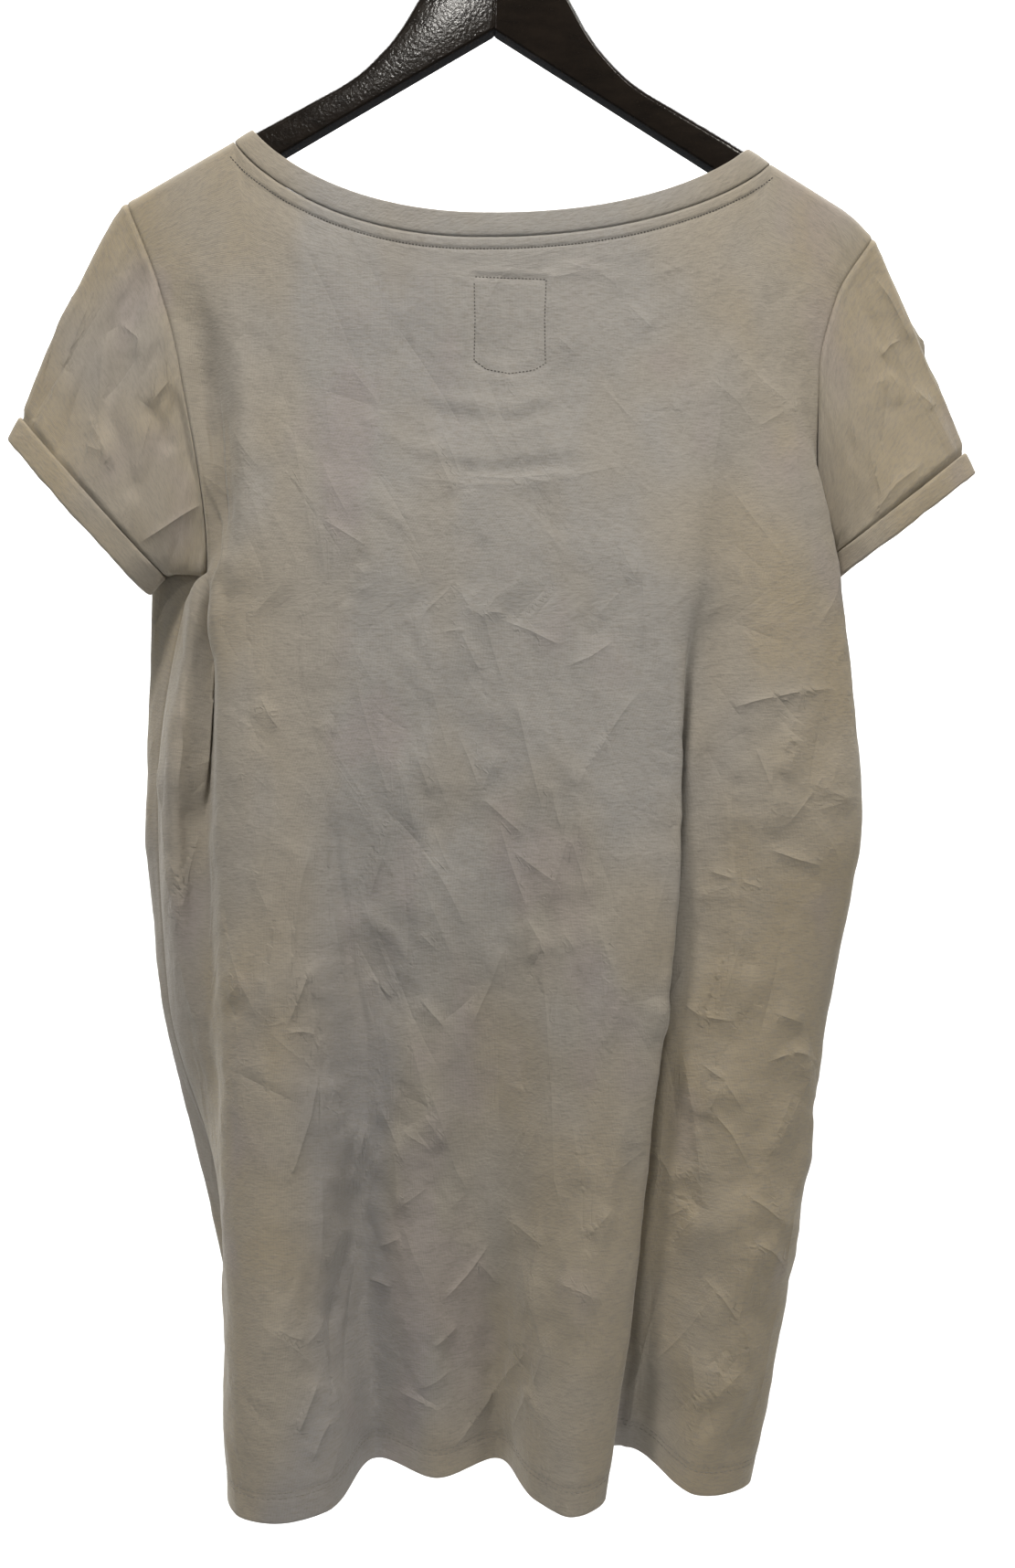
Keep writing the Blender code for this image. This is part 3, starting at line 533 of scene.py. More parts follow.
def broken_folds(s, t, count, seed):
    """Chains of short straight folds, about two in three near upright: ends, height, width and lean."""
    random = np.random.default_rng(seed)
    folds = []
    low_s, high_s, low_t, high_t = s.min(), s.max(), t.min(), t.max()
    while len(folds) < count:
        x, y = random.uniform(low_s, high_s), random.uniform(low_t, high_t)
        if random.random() < 0.66:
            angle = random.normal(0, 19)
        else:
            angle = random.choice((-1, 1)) * random.uniform(32, 82)
        for _ in range(random.choice((1, 2, 2, 3))):
            reach = random.uniform(14, 66) * (1.8 if abs(angle) < 30 else 0.7)
            turn = math.radians(angle)
            end = (x + reach * math.sin(turn), y + reach * math.cos(turn))
            tall = random.uniform(0.35, 1.15) * (1 if random.random() < 0.6 else -0.85)
            folds.append((x, y, *end, tall, random.uniform(6, 13), random.uniform(0.4, 1.7)))
            x, y = end
            angle = -angle * random.uniform(0.4, 1.3) + random.normal(0, 14)
    return folds


class Lines:
    """Sharp folds on a grid: how far the nearest one lies, in mm and with its side, and how tall it is."""

    FAR = 90.0

    def __init__(self, shape):
        self.distance = np.full(shape, self.FAR)
        self.aside = np.full(shape, self.FAR)
        self.tall = np.zeros(shape)

    def add(self, distance, aside, tall, where=slice(None)):
        reach = distance / (0.25 + np.minimum(np.abs(tall), 1.0))
        closer = reach < self.distance[where]
        self.distance[where] = np.where(closer, reach, self.distance[where])
        self.aside[where] = np.where(closer, np.where(aside < 0, -distance, distance), self.aside[where])
        self.tall[where] = np.where(closer, tall, self.tall[where])

    def fold(self, s, t, strength, fold):
        """Add one straight fold; returns the cloth's height beside it, with the points that it reaches."""
        x0, y0, x1, y1, tall, wide, lean = fold
        margin = 3.0 * wide
        where = np.nonzero((s > min(x0, x1) - margin) & (s < max(x0, x1) + margin)
                           & (t > min(y0, y1) - margin) & (t < max(y0, y1) + margin))
        if not len(where[0]):
            return where, 0.0
        length = math.hypot(x1 - x0, y1 - y0)
        way = ((x1 - x0) / length, (y1 - y0) / length)
        dx, dy = s[where] - x0, t[where] - y0
        along = dx * way[0] + dy * way[1]
        aside = way[0] * dy - way[1] * dx
        aside = aside + 0.05 * length * np.sin(np.clip(along / length, 0, 1) * math.pi) * (lean - 1)
        past = np.maximum(0.0, np.maximum(-along, along - length))
        distance = np.hypot(aside, past)
        ends = smooth(-0.02, 0.3, along / length) * smooth(1.02, 0.7, along / length)
        amount = tall * ends * strength[where]
        self.add(distance, aside, 0.55 * amount, where)
        width = np.where(aside > 0, wide * lean, wide * (2.1 - lean))
        soft = np.hypot(distance, 1.5) - 1.5
        return where, 0.95 * amount * np.exp(-soft / np.maximum(width, 3.0))


# Height in mm (a trough is below 0), half width, lean (a flank that is steeper below 0 or above 0), then
# the crease's points on the picture plane.
CREASES = (
    (1.3, 5, 0.3, (522, 676), (540, 670), (555, 672)),
    (1.2, 6, 0.5, (546, 677), (580, 690), (600, 700), (618, 708)),
    (-0.6, 6, 0.3, (550, 690), (585, 704), (612, 718)),
    (1.2, 6, -0.5, (618, 731), (648, 718), (674, 700)),
    (-0.5, 6, -0.3, (628, 740), (655, 727)),
    (1.0, 4, 0.2, (484, 693), (497, 690), (512, 690)),
    (1.2, 4, 0.0, (700, 600), (704, 650), (703, 716)),
    (1.1, 5, 0.4, (500, 800), (513, 830), (528, 872)),
    (1.1, 5, -0.3, (548, 820), (534, 848), (521, 892)),
    (-1.9, 7, 0.3, (552, 896), (570, 945), (589, 1004)),
    (1.4, 6, -0.4, (545, 896), (560, 946), (580, 1000)),
    (-1.7, 7, 0.0, (632, 862), (609, 938), (589, 1004)),
    (1.3, 7, 0.3, (640, 868), (618, 934), (597, 1006)),
    (1.1, 8, 0.2, (704, 752), (680, 782), (638, 850)),
    (-1.0, 8, 0.0, (604, 750), (596, 800), (586, 850)),
    (-1.3, 9, 0.0, (402, 596), (390, 630), (376, 668)),
    (1.1, 6, 0.2, (350, 566), (376, 582), (402, 598)),
    (-1.0, 9, 0.2, (530, 586), (524, 620), (515, 656)),
    (-0.9, 9, 0.2, (438, 674), (456, 712), (478, 756)),
    (1.2, 5, 0.2, (284, 760), (296, 784), (307, 800)),
    (1.0, 5, 0.0, (276, 783), (292, 779), (310, 778)),
    (1.1, 6, 0.2, (372, 758), (367, 786), (364, 812)),
    (1.4, 7, 0.3, (432, 886), (420, 935), (402, 990)),
    (-1.0, 8, 0.3, (444, 900), (434, 945), (414, 996)),
    (1.3, 7, 0.2, (346, 908), (330, 965), (312, 1106)),
    (-1.2, 9, 0.0, (470, 884), (484, 925), (494, 956)),
    (-1.0, 7, 0.0, (606, 884), (616, 902), (632, 922)),
    (0.9, 5, 0.2, (458, 1019), (478, 1039)),
    (-2.6, 9, 0.5, (362, 862), (370, 950), (384, 1046), (399, 1120), (402, 1180)),
    (1.2, 7, 0.0, (352, 880), (360, 955), (373, 1050), (388, 1126)),
    (-1.8, 26, 0.0, (380, 880), (400, 990), (420, 1090)),
    (1.1, 7, 0.2, (670, 1046), (677, 1124)),
    (1.8, 6, 0.4, (341, 1054), (328, 1088), (312, 1128)),
    (1.3, 5, 0.0, (311, 1131), (328, 1128), (345, 1132)),
    (1.2, 6, 0.3, (403, 1066), (430, 1094)),
    (1.3, 6, -0.3, (458, 1092), (488, 1126)),
    (-1.3, 6, 0.3, (404, 1083), (430, 1106), (447, 1112)),
    (1.3, 6, 0.2, (464, 1218), (488, 1256)),
    (2.0, 6, 0.5, (794, 777), (834, 766), (872, 758), (916, 753)),
    (-1.4, 6, 0.2, (800, 786), (842, 776), (900, 768)),
    (1.5, 6, 0.2, (826, 816), (836, 842), (845, 872)),
    (-2.4, 6, 0.2, (824, 932), (868, 950), (910, 967)),
    (1.8, 5, 0.0, (840, 929), (870, 940), (900, 948)),
    (1.4, 6, 0.3, (772, 951), (804, 962), (838, 973)),
    (-1.5, 7, 0.2, (838, 988), (862, 1002), (900, 1016)),
    (1.5, 6, 0.2, (748, 1096), (770, 1112), (806, 1118)),
    (-1.8, 7, 0.0, (752, 1124), (782, 1130), (812, 1152)),
    (1.6, 6, 0.2, (764, 1160), (792, 1180), (812, 1214)),
    (-2.2, 8, 0.2, (828, 1168), (842, 1190), (862, 1204), (884, 1196)),
    (1.9, 7, 0.0, (838, 1162), (868, 1150), (890, 1156)),
    (1.6, 6, 0.2, (780, 1214), (800, 1240), (820, 1280)),
    (-1.6, 6, 0.0, (770, 1236), (786, 1262), (798, 1292)),
    (1.8, 6, 0.3, (808, 1302), (832, 1318), (860, 1344)),
    (-1.6, 7, 0.0, (806, 1322), (828, 1342), (848, 1358)),
    (1.8, 6, 0.3, (812, 1352), (838, 1366), (862, 1400)),
    (-1.5, 6, 0.0, (804, 1372), (826, 1392), (858, 1412)),
    (1.7, 6, 0.2, (768, 1394), (790, 1420), (812, 1456), (818, 1500)),
    (-1.8, 8, 0.2, (755, 1380), (758, 1430), (752, 1500)),
    (1.4, 8, 0.2, (758, 1466), (762, 1520), (756, 1592)),
    (-1.4, 7, 0.2, (772, 1480), (774, 1530), (766, 1594)),
    (1.4, 6, 0.3, (612, 1401), (636, 1412), (660, 1424)),
    (2.2, 7, 0.3, (348, 1508), (336, 1542), (324, 1574)),
    (1.8, 7, -0.3, (362, 1548), (350, 1574), (340, 1602)),
    (-2.6, 9, 0.2, (370, 1396), (364, 1450), (367, 1530)),
    (2.0, 8, 0.3, (540, 1356), (510, 1392), (480, 1426)),
    (-1.6, 8, 0.0, (556, 1366), (524, 1404), (494, 1436)),
    (1.4, 6, 0.0, (500, 1448), (472, 1476)),
    (1.9, 8, -0.3, (547, 1510), (518, 1552), (486, 1598)),
    (-1.6, 8, 0.0, (560, 1520), (532, 1562), (502, 1600)),
    (1.4, 6, 0.2, (438, 1520), (460, 1533), (482, 1544)),
    (0.8, 9, 0.3, (450, 420), (500, 438), (560, 444), (620, 424)),
    (-0.9, 9, 0.3, (440, 436), (500, 456), (560, 460), (632, 440)),
    (0.8, 9, -0.2, (400, 470), (470, 496), (540, 504), (660, 488)),
    (0.7, 8, 0.0, (440, 520), (520, 532), (600, 528), (700, 506)),
    (-0.7, 9, 0.0, (460, 505), (540, 518), (650, 504)),
    (0.8, 6, 0.0, (684, 330), (700, 346), (716, 362)),
    (0.9, 6, 0.2, (806, 390), (836, 420), (870, 446)),
    (0.8, 7, 0.0, (770, 410), (806, 440), (830, 470)),
    (-0.8, 7, 0.0, (690, 360), (650, 420), (640, 470)),
    (0.8, 7, 0.0, (826, 470), (856, 452), (880, 440)),
    (-7.5, 22, 0.2, (204, 296), (224, 380), (238, 460), (243, 540), (247, 640)),
    (1.2, 10, 0.0, (250, 300), (268, 420), (274, 540)),
    (1.0, 5, 0.2, (470, 478), (485, 512), (500, 545)),
    (0.9, 5, 0.2, (484, 470), (496, 500), (508, 530)),
    (0.9, 6, 0.0, (500, 522), (560, 524), (600, 520), (640, 518)),
    (1.0, 6, 0.2, (672, 575), (684, 610), (700, 642)),
    (0.9, 5, 0.2, (500, 636), (508, 655), (520, 676)),
    (1.0, 5, 0.0, (504, 690), (514, 712), (527, 738)),
    (1.3, 8, 0.2, (562, 752), (576, 815), (590, 870), (597, 900)),
    (0.9, 7, 0.2, (470, 742), (482, 790), (492, 830)),
    (1.0, 6, 0.2, (602, 850), (608, 885), (617, 915)),
    (1.1, 7, 0.2, (474, 905), (483, 930), (494, 955)),
    (1.0, 7, 0.0, (300, 870), (294, 930), (276, 990)),
    (1.0, 6, 0.2, (468, 978), (480, 1010), (496, 1050)),
    (1.0, 6, 0.2, (575, 1000), (590, 1025), (600, 1050)),
    (1.0, 6, 0.2, (650, 1000), (660, 1030), (672, 1066)),
    (1.2, 6, 0.2, (592, 1045), (600, 1110), (605, 1200), (608, 1290), (622, 1350)),
    (1.0, 6, 0.0, (676, 1045), (671, 1130), (664, 1240)),
    (2.2, 10, 0.0, (690, 1195), (676, 1260), (666, 1310), (655, 1385)),
    (1.3, 8, 0.0, (556, 1030), (538, 1075), (512, 1130)),
    (1.1, 6, 0.2, (462, 1168), (480, 1222), (498, 1280), (516, 1310)),
    (1.1, 6, 0.2, (418, 1205), (432, 1240), (448, 1278)),
    (1.6, 8, 0.0, (404, 1225), (390, 1262), (376, 1312)),
    (2.0, 8, 0.3, (350, 1160), (338, 1220), (322, 1275), (308, 1306)),
    (1.2, 6, 0.2, (552, 1326), (575, 1345), (600, 1366)),
    (1.2, 7, 0.2, (566, 1350), (578, 1400), (592, 1462), (606, 1500)),
    (1.3, 7, 0.0, (582, 1432), (574, 1484), (545, 1518), (512, 1556)),
    (1.2, 7, 0.0, (606, 1452), (590, 1500), (572, 1540), (560, 1574)),
    (1.3, 6, 0.2, (300, 1452), (316, 1462), (334, 1468)),
    (1.2, 6, 0.0, (356, 1440), (346, 1458), (332, 1474)),
    (1.4, 7, 0.2, (404, 1398), (418, 1402), (432, 1408)),
    (1.3, 7, 0.2, (712, 1258), (728, 1272), (742, 1296)),
    (-5.0, 14, 0.0, (212, 360), (224, 450), (236, 530), (247, 612)),
    # the shaded strip under the left sleeve
    (-6.0, 15, 0.0, (214, 640), (207, 740), (204, 860), (207, 960), (216, 1080)),
    (2.2, 7, 0.2, (196, 760), (200, 812), (194, 872)),
    (1.8, 7, 0.2, (182, 930), (198, 975), (192, 1030)),
    (1.6, 7, -0.2, (222, 900), (206, 960), (196, 1010)),
    (1.5, 6, 0.2, (196, 1040), (206, 1090), (220, 1130)),
    # left sleeve
    (1.8, 9, 0.3, (144, 246), (116, 330), (84, 420), (60, 480)),
    (-3.4, 12, 0.0, (162, 270), (146, 340), (126, 420), (112, 500)),
    (1.4, 6, 0.2, (128, 350), (153, 372), (150, 396)),
    (2.0, 7, 0.3, (168, 300), (180, 360), (184, 420), (158, 452)),
    (-2.2, 9, 0.0, (152, 440), (172, 460), (190, 500)),
    (2.2, 8, 0.4, (226, 548), (196, 566), (150, 596)),
    (-2.2, 8, 0.2, (228, 566), (200, 586), (176, 616)),
    (-2.6, 10, 0.0, (190, 420), (206, 480), (222, 540)),
    (1.4, 6, 0.0, (96, 452), (112, 486), (130, 520)),
    (-1.9, 10, 0.0, (110, 440), (134, 486), (150, 560)),
    # right sleeve
    (1.6, 6, 0.2, (955, 300), (975, 330), (1000, 380)),
    (-1.5, 7, 0.0, (938, 300), (958, 352), (978, 370)),
    (1.6, 6, 0.2, (962, 392), (974, 378), (986, 372)),
    (1.5, 6, 0.0, (970, 404), (982, 424), (984, 448)),
    (1.6, 6, 0.3, (996, 426), (1014, 440), (1022, 450)),
    (-1.8, 8, 0.2, (930, 380), (926, 460), (934, 540)),
    (1.4, 8, 0.0, (944, 420), (952, 500), (968, 552)),
    (-1.5, 7, 0.0, (964, 470), (990, 500), (1010, 520)),
    (1.5, 7, 0.2, (952, 570), (980, 530), (1012, 506)),
)

# How crumpled the cloth is, from 0 to 1: amount, centre and radii on the picture plane.
CRUMPLED = (
    (0.95, (800, 1140), (90, 120)),
    (1.05, (820, 1310), (80, 140)),
    (0.90, (770, 1480), (75, 120)),
    (0.75, (420, 1380), (160, 220)),
    (0.70, (620, 1400), (80, 200)),
    (0.65, (290, 1100), (80, 140)),
    (0.62, (560, 920), (150, 200)),
    (0.65, (860, 880), (75, 150)),
    (0.50, (520, 690), (180, 100)),
    (0.60, (430, 1080), (120, 150)),
    (0.85, (100, 400), (90, 140)),
    (0.62, (990, 430), (80, 130)),
    (0.45, (200, 900), (60, 200)),
)
CRUMPLED_BASE = 0.34    # elsewhere on what the camera sees
CRUMPLED_FRONT = 0.42
CRUMPLE = 2.2           # mm of crease for a cloth that is crumpled by 1
MOST_FOLDED = 1.7       # the same for the seeded folds, at most

# Creases below this half width have a sharp line that holds SHARP of their height.  A ridge among them
# keeps RIDGE of it in its flanks, and a trough keeps TROUGH.
SHARP_BELOW = 9
SHARP = 0.75
RIDGE = 0.80
TROUGH = 0.22

LABEL_BOX = ((519, 303), (598, 306), (596, 350), (597, 398), (585, 405), (558, 409), (532, 404), (519, 394),
             (520, 350), (519, 303))

# Cloth that stands out beside a fold: height in mm, width, the share of it that rises from each end, then
# the picture points of its steep edge, with the raised cloth on the right of someone who goes down it.
LEDGES = (
    (5.6, 28, 0.17, (771, 660), (759, 720), (752, 800), (746, 880), (740, 960), (732, 1050), (725, 1120),
     (719, 1190), (713, 1260), (706, 1330), (698, 1420), (691, 1500), (684, 1580), (680, 1650), (662, 1900)),
    (6.5, 30, 0.15, (219, 900), (225, 830), (231, 765), (238, 700), (243, 650), (245, 600)),
    (5.0, 36, 0.25, (206, 470), (226, 530), (240, 575), (248, 610), (250, 660)),
)
LEDGE_FALL = 3.5        # picture units over which the steep edge falls


def bell(distance, width):
    return np.exp(-(distance / width) ** 2)


def fading(share, length):
    """1 along a line, down to 0 at its ends over the given share of it."""
    return smooth(0.0, length, share) * smooth(1.0, 1.0 - length, share)


def crumpled(seen):
    """How crumpled the cloth is where the camera sees it."""
    strength = np.full(seen.shape[:-1], CRUMPLED_BASE)
    for amount, (x, y), (wide, tall) in CRUMPLED:
        reach = ((seen[..., 0] - x) / wide) ** 2 + ((seen[..., 1] - y) / tall) ** 2
        strength = np.maximum(strength, amount * np.exp(-reach**2 * 0.7))
    return strength


def placed_folds(seen, lines):
    """Height in mm of the creases, the ledges and the label box; the sharp ones are added to the lines."""
    height = np.zeros(seen.shape[:-1])
    for tall, wide, lean, *line in CREASES:
        distance, aside, share = along_line(seen, line)
        amount = tall * fading(share, 0.25)
        if wide >= SHARP_BELOW:
            height += amount * bell(distance, wide * (1 + lean * np.sign(aside)))
        elif tall < 0:
            height += TROUGH * amount * bell(distance, 1.9 * wide)
        else:
            lines.add(distance * PIXEL, aside, SHARP * amount * (distance < 60))
            flank = np.where(aside > 0, wide * (2.6 + lean), wide * 1.0)
            height += RIDGE * amount * np.exp(-(np.hypot(distance, 3.0) - 3.0) / flank)
    for tall, wide, length, *line in LEDGES:
        distance, aside, share = along_line(seen, line)
        section = np.where(aside < 0, bell(distance, wide), bell(distance, LEDGE_FALL))
        height += tall * fading(share, length) * section
    distance, _, _ = along_line(seen, LABEL_BOX)
    height -= 0.55 * bell(distance, 3.2)
    pucker = 1 + noise(seen[..., 0] / 9, seen[..., 1] / 9, SEEDS["label"])
    return height + 0.35 * bell(distance - 6.5, 3.2) * pucker


def raised(grid, flat, in_picture, seed, fade, folds):
    """How far each point of a grid stands out from the plain form, in mm, and the sharp folds near it."""
    seen = picture(grid)
    s, t = flat[..., 0], flat[..., 1]
    lines = Lines(seen.shape[:-1])
    if in_picture:
        strength, height = crumpled(seen), placed_folds(seen, lines)
    else:
        strength, height = np.full(seen.shape[:-1], CRUMPLED_FRONT), np.zeros(seen.shape[:-1])
    strength = strength * CRUMPLE
    folded = np.clip(strength, 0.0, MOST_FOLDED)
    for fold in broken_folds(s, t, folds, seed + 300):
        where, added = lines.fold(s, t, folded, fold)
        height[where] += added
    height += strength * crumple(s, t, seed)
    beside = smooth(4.8, 3.0, np.abs(lines.aside))
    return height * fade, np.stack((lines.aside, lines.tall * fade * beside, lines.distance), axis=-1)


def flat_places(grid, closed=False):
    """Where each point lies on the cloth when it is spread flat: across and down, in mm."""
    across = np.linalg.norm(grid[:, 1:] - grid[:, :-1], axis=-1)
    s = np.concatenate((np.zeros((len(grid), 1)), np.cumsum(across, axis=1)), axis=1)
    if not closed:
        s -= s[:, -1:] / 2
    down = np.linalg.norm(grid[1:] - grid[:-1], axis=-1).mean(axis=1)
    t = np.concatenate(((0.0,), np.cumsum(down)))
    return np.stack((s, np.repeat(t[:, None], grid.shape[1], axis=1)), axis=-1)


def seam_distances(grid, flat):
    """How far each point of a panel lies from its side edges, its top edge and its hem, in mm."""
    s = flat[..., 0]
    aside = np.minimum(s - s[:, :1], s[:, -1:] - s)
    along = unit(np.gradient(grid[0], axis=0))
    down = unit(grid[14] - grid[0])
    square = np.linalg.norm(np.cross(along, down), axis=1)
    steps = np.linalg.norm(grid[1:] - grid[:-1], axis=-1)
    fallen = np.concatenate((np.zeros((1, grid.shape[1])), np.cumsum(steps, axis=0)))
    return aside, fallen * np.clip(square, 0.3, 1.0), fallen[-1:] - fallen


def seam_form(distance, welt):
    """A seam's section: the cloth dips into it and stands up as a welt over the allowance beside it."""
    return -0.8 * bell(distance, 0.8) + welt * bell(distance - 3.2, 2.6)


def within_neck(x, length):
    """1 between the neck points, down to 0 at them over the given length."""
    return (smooth(LEFT_NECK_POINT, LEFT_NECK_POINT + length, x)
            * smooth(RIGHT_NECK_POINT, RIGHT_NECK_POINT - length, x))


def seam_relief(grid, flat):
    """Relief in mm along a panel's seams, its neck stitching and its hem stitching."""
    aside, below, above = seam_distances(grid, flat)
    height = seam_form(aside, 0.25)
    strip = 0.55 * smooth(0.4, 1.8, below) * smooth(7.6, 6.4, below) - 0.5 * bell(below - NECK_STITCH, 1.0)
    ripple = 0.12 * noise(flat[..., 0] / 4.5, below / 12, SEEDS["neck_seam"]) * bell(below - 5, 5)
    height += within_neck(grid[0, :, 0], 8) * (strip + ripple - 0.35 * bell(below, 0.7))
    for stitch in HEM_STITCHES:
        height -= 0.32 * bell(above - stitch, 1.1)
    pucker = noise(flat[..., 0] / 6.5, above / 16, SEEDS["hem"])
    return height + 0.3 * pucker * smooth(0.0, 3.0, above) * smooth(22.0, 15.0, above)


def seam_fade(grid, flat):
    """0 at the panel's top and side edges, 1 away from them."""
    aside, below, above = seam_distances(grid, flat)
    return smooth(0.0, SEAM_FADE, aside) * smooth(6.0, 26.0, below) * (0.45 + 0.55 * smooth(4.0, 26.0, above))


# ---- meshes -----------------------------------------------------------------------------------
def make_mesh(name, vertices, faces, finish, places=None, solid=None, lines=None):
    """A piece in its material; places are its points on the flat cloth, and lines the folds beside them."""
    mesh = bpy.data.meshes.new(name)
    points = (np.asarray(vertices) + (0, 0, APEX_Z)) * MM
    mesh.from_pydata(points.tolist(), [], faces)
    if places is not None:
        layer = mesh.uv_layers.new(name="flat")
        corners = np.empty(len(mesh.loops), dtype=np.int32)
        mesh.loops.foreach_get("vertex_index", corners)
        layer.data.foreach_set("uv", (places.reshape(-1, 2)[corners] * MM).ravel())
    if lines is not None:
        layer = mesh.attributes.new(name="crease", type="FLOAT_VECTOR", domain="POINT")
        layer.data.foreach_set("vector", np.ascontiguousarray(lines, dtype=np.float32).ravel())
    mesh.materials.append(finish)
    mesh.shade_smooth()
    return add_piece(name, mesh, solid)


def add_piece(name, data, solid):
    made = bpy.data.objects.new(name, data)
    bpy.context.collection.objects.link(made)
    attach(made, "root")
    if solid:
        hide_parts(solid)
    return made


def make_cloth(solid, grid, places, jersey, closed=False, flip=False, lines=None):
    """The piece of cloth that stands for a solid, from a grid of points."""
    faces = grid_faces(*grid.shape[:2], closed, flip)
    return make_mesh("dress_" + solid, grid.reshape(-1, 3), faces, jersey, places, solid, lines)


def grid_faces(rows, columns, closed, flip=False):
    """Four-sided faces between the points of a grid, whose last column joins the first if it is closed."""
    spans = columns if closed else columns - 1
    row, column = np.meshgrid(np.arange(rows - 1), np.arange(spans), indexing="ij")
    following = (column + 1) % columns
    a = row * columns + column
    b = (row + 1) * columns + column
    c = (row + 1) * columns + following
    d = row * columns + following
    order = (a, b, c, d) if not flip else (a, d, c, b)
    return np.stack(order, axis=-1).reshape(-1, 4).tolist()


# a stitch from end to end: shares of its length, its thickness and how far it lies in the cloth, in radii
STITCH_SHARES = np.array((0.0, 0.12, 0.5, 0.88, 1.0))
STITCH_WIDTHS = np.array((0.25, 0.85, 1.0, 0.85, 0.25))
STITCH_SINKS = np.array((-0.9, -0.1, 0.35, -0.1, -0.9))
STITCH_SIDES = 6


def dashes(name, runs, pitch, length, radius, thread):
    """Stitches along runs of (points, normals): short threads, rounded at their ends."""
    vertices, faces = [], []
    rings = len(STITCH_SHARES)
    for points, normals in runs:
        points, normals = np.asarray(points, float), np.asarray(normals, float)
        steps = np.linalg.norm(points[1:] - points[:-1], axis=1)
        way = np.concatenate(((0.0,), np.cumsum(steps)))
        for start in np.arange(0.5, way[-1] - length, pitch):
            place = start + STITCH_SHARES * length
            middle = np.stack([np.interp(place, way, points[:, k]) for k in range(3)], axis=1)
            normal = unit(np.stack([np.interp(place, way, normals[:, k]) for k in range(3)], axis=1))
            tangent = unit(middle[-1] - middle[0])
            side = unit(np.cross(normal, tangent))
            base = len(vertices)
            for ring, (width, sink) in enumerate(zip(radius * STITCH_WIDTHS, radius * STITCH_SINKS)):
                for step in range(STITCH_SIDES):
                    angle = 2 * math.pi * step / STITCH_SIDES
                    vertices.append(middle[ring] + normal[ring] * (sink + width * math.sin(angle))
                                    + side[ring] * width * math.cos(angle))
            faces += [[base + corner for corner in face]
                      for face in grid_faces(rings, STITCH_SIDES, True, True)]
            faces.append([base + step for step in range(STITCH_SIDES)][::-1])
            faces.append([base + (rings - 1) * STITCH_SIDES + step for step in range(STITCH_SIDES)])
    return make_mesh(name, vertices, faces, thread)


# ---- materials --------------------------------------------------------------------------------
# TAN is the tint of painted warm light, and BLUE_GREY also paints shade in one band
COOL_GREY = (0.318, 0.303, 0.280)
TAN = (0.338, 0.284, 0.200)
BLUE_GREY = (0.264, 0.258, 0.262)
MAUVE = (0.318, 0.275, 0.266)
SLUB = (0.245, 0.222, 0.190)


class Nodes:
    """A material and the nodes that feed its shader."""

    def __init__(self, name, **values):
        self.material = bpy.data.materials.new(name)
        self.material.use_nodes = True
        self.tree = self.material.node_tree
        self.shader = self.tree.nodes["Principled BSDF"]
        for key, value in values.items():
            self.shader.inputs[key.replace("_", " ")].default_value = value

    def add(self, kind, **values):
        node = self.tree.nodes.new(kind)
        for key, value in values.items():
            if key in node.inputs:
                node.inputs[key].default_value = value
            else:
                setattr(node, key, value)
        return node

    def join(self, source, target):
        self.tree.links.new(source, target)

    def feed(self, **sources):
        for key, source in sources.items():
            self.join(source, self.shader.inputs[key.replace("_", " ")])

    def place(self):
        return self.add("ShaderNodeTexCoord").outputs["Object"]

    def stretched(self, vector, *scale):
        node = self.add("ShaderNodeMapping", Scale=scale)
        self.join(vector, node.inputs["Vector"])
        return node.outputs["Vector"]

    def parts(self, vector):
        node = self.add("ShaderNodeSeparateXYZ")
        self.join(vector, node.inputs["Vector"])
        return node.outputs

    def cloud(self, vector, scale, detail=2.0, rough=0.5):
        node = self.add("ShaderNodeTexNoise", Scale=scale, Detail=detail, Roughness=rough)
        self.join(vector, node.inputs["Vector"])
        return node.outputs["Fac"]

    def bands(self, vector, **values):
        node = self.add("ShaderNodeTexWave", **values)
        self.join(vector, node.inputs["Vector"])
        return node.outputs["Fac"]

    def math(self, operation, *sources, clamp=False):
        node = self.add("ShaderNodeMath", operation=operation, use_clamp=clamp)
        for socket, source in zip(node.inputs, sources):
            if isinstance(source, float):
                socket.default_value = source
            else:
                self.join(source, socket)
        return node.outputs["Value"]

    def ramp(self, source, low, high, top=1.0, bottom=0.0, kind="SMOOTHSTEP"):
        """A value from bottom to top as its source goes from low to high."""
        node = self.add("ShaderNodeMapRange", interpolation_type=kind)
        for key, value in (("From Min", low), ("From Max", high), ("To Min", bottom), ("To Max", top)):
            node.inputs[key].default_value = value
        self.join(source, node.inputs["Value"])
        return node.outputs["Result"]

    def blend(self, share, first, second):
        """A mix of two colours, each a node's output or red, green and blue."""
        node = self.add("ShaderNodeMix", data_type="RGBA")
        self.join(share, node.inputs["Factor"])
        for key, colour in (("A", first), ("B", second)):
            if isinstance(colour, tuple):
                node.inputs[key].default_value = (*colour, 1.0)
            else:
                self.join(colour, node.inputs[key])
        return node.outputs["Result"]

    def bumps(self, *layers):
        """Feed the shader's normal through bumps of (height, strength, depth in m)."""
        normal = None
        for height, strength, depth in layers:
            node = self.add("ShaderNodeBump", Strength=strength, Distance=depth)
            self.join(height, node.inputs["Height"])
            if normal:
                self.join(normal, node.inputs["Normal"])
            normal = node.outputs["Normal"]
        self.feed(Normal=normal)


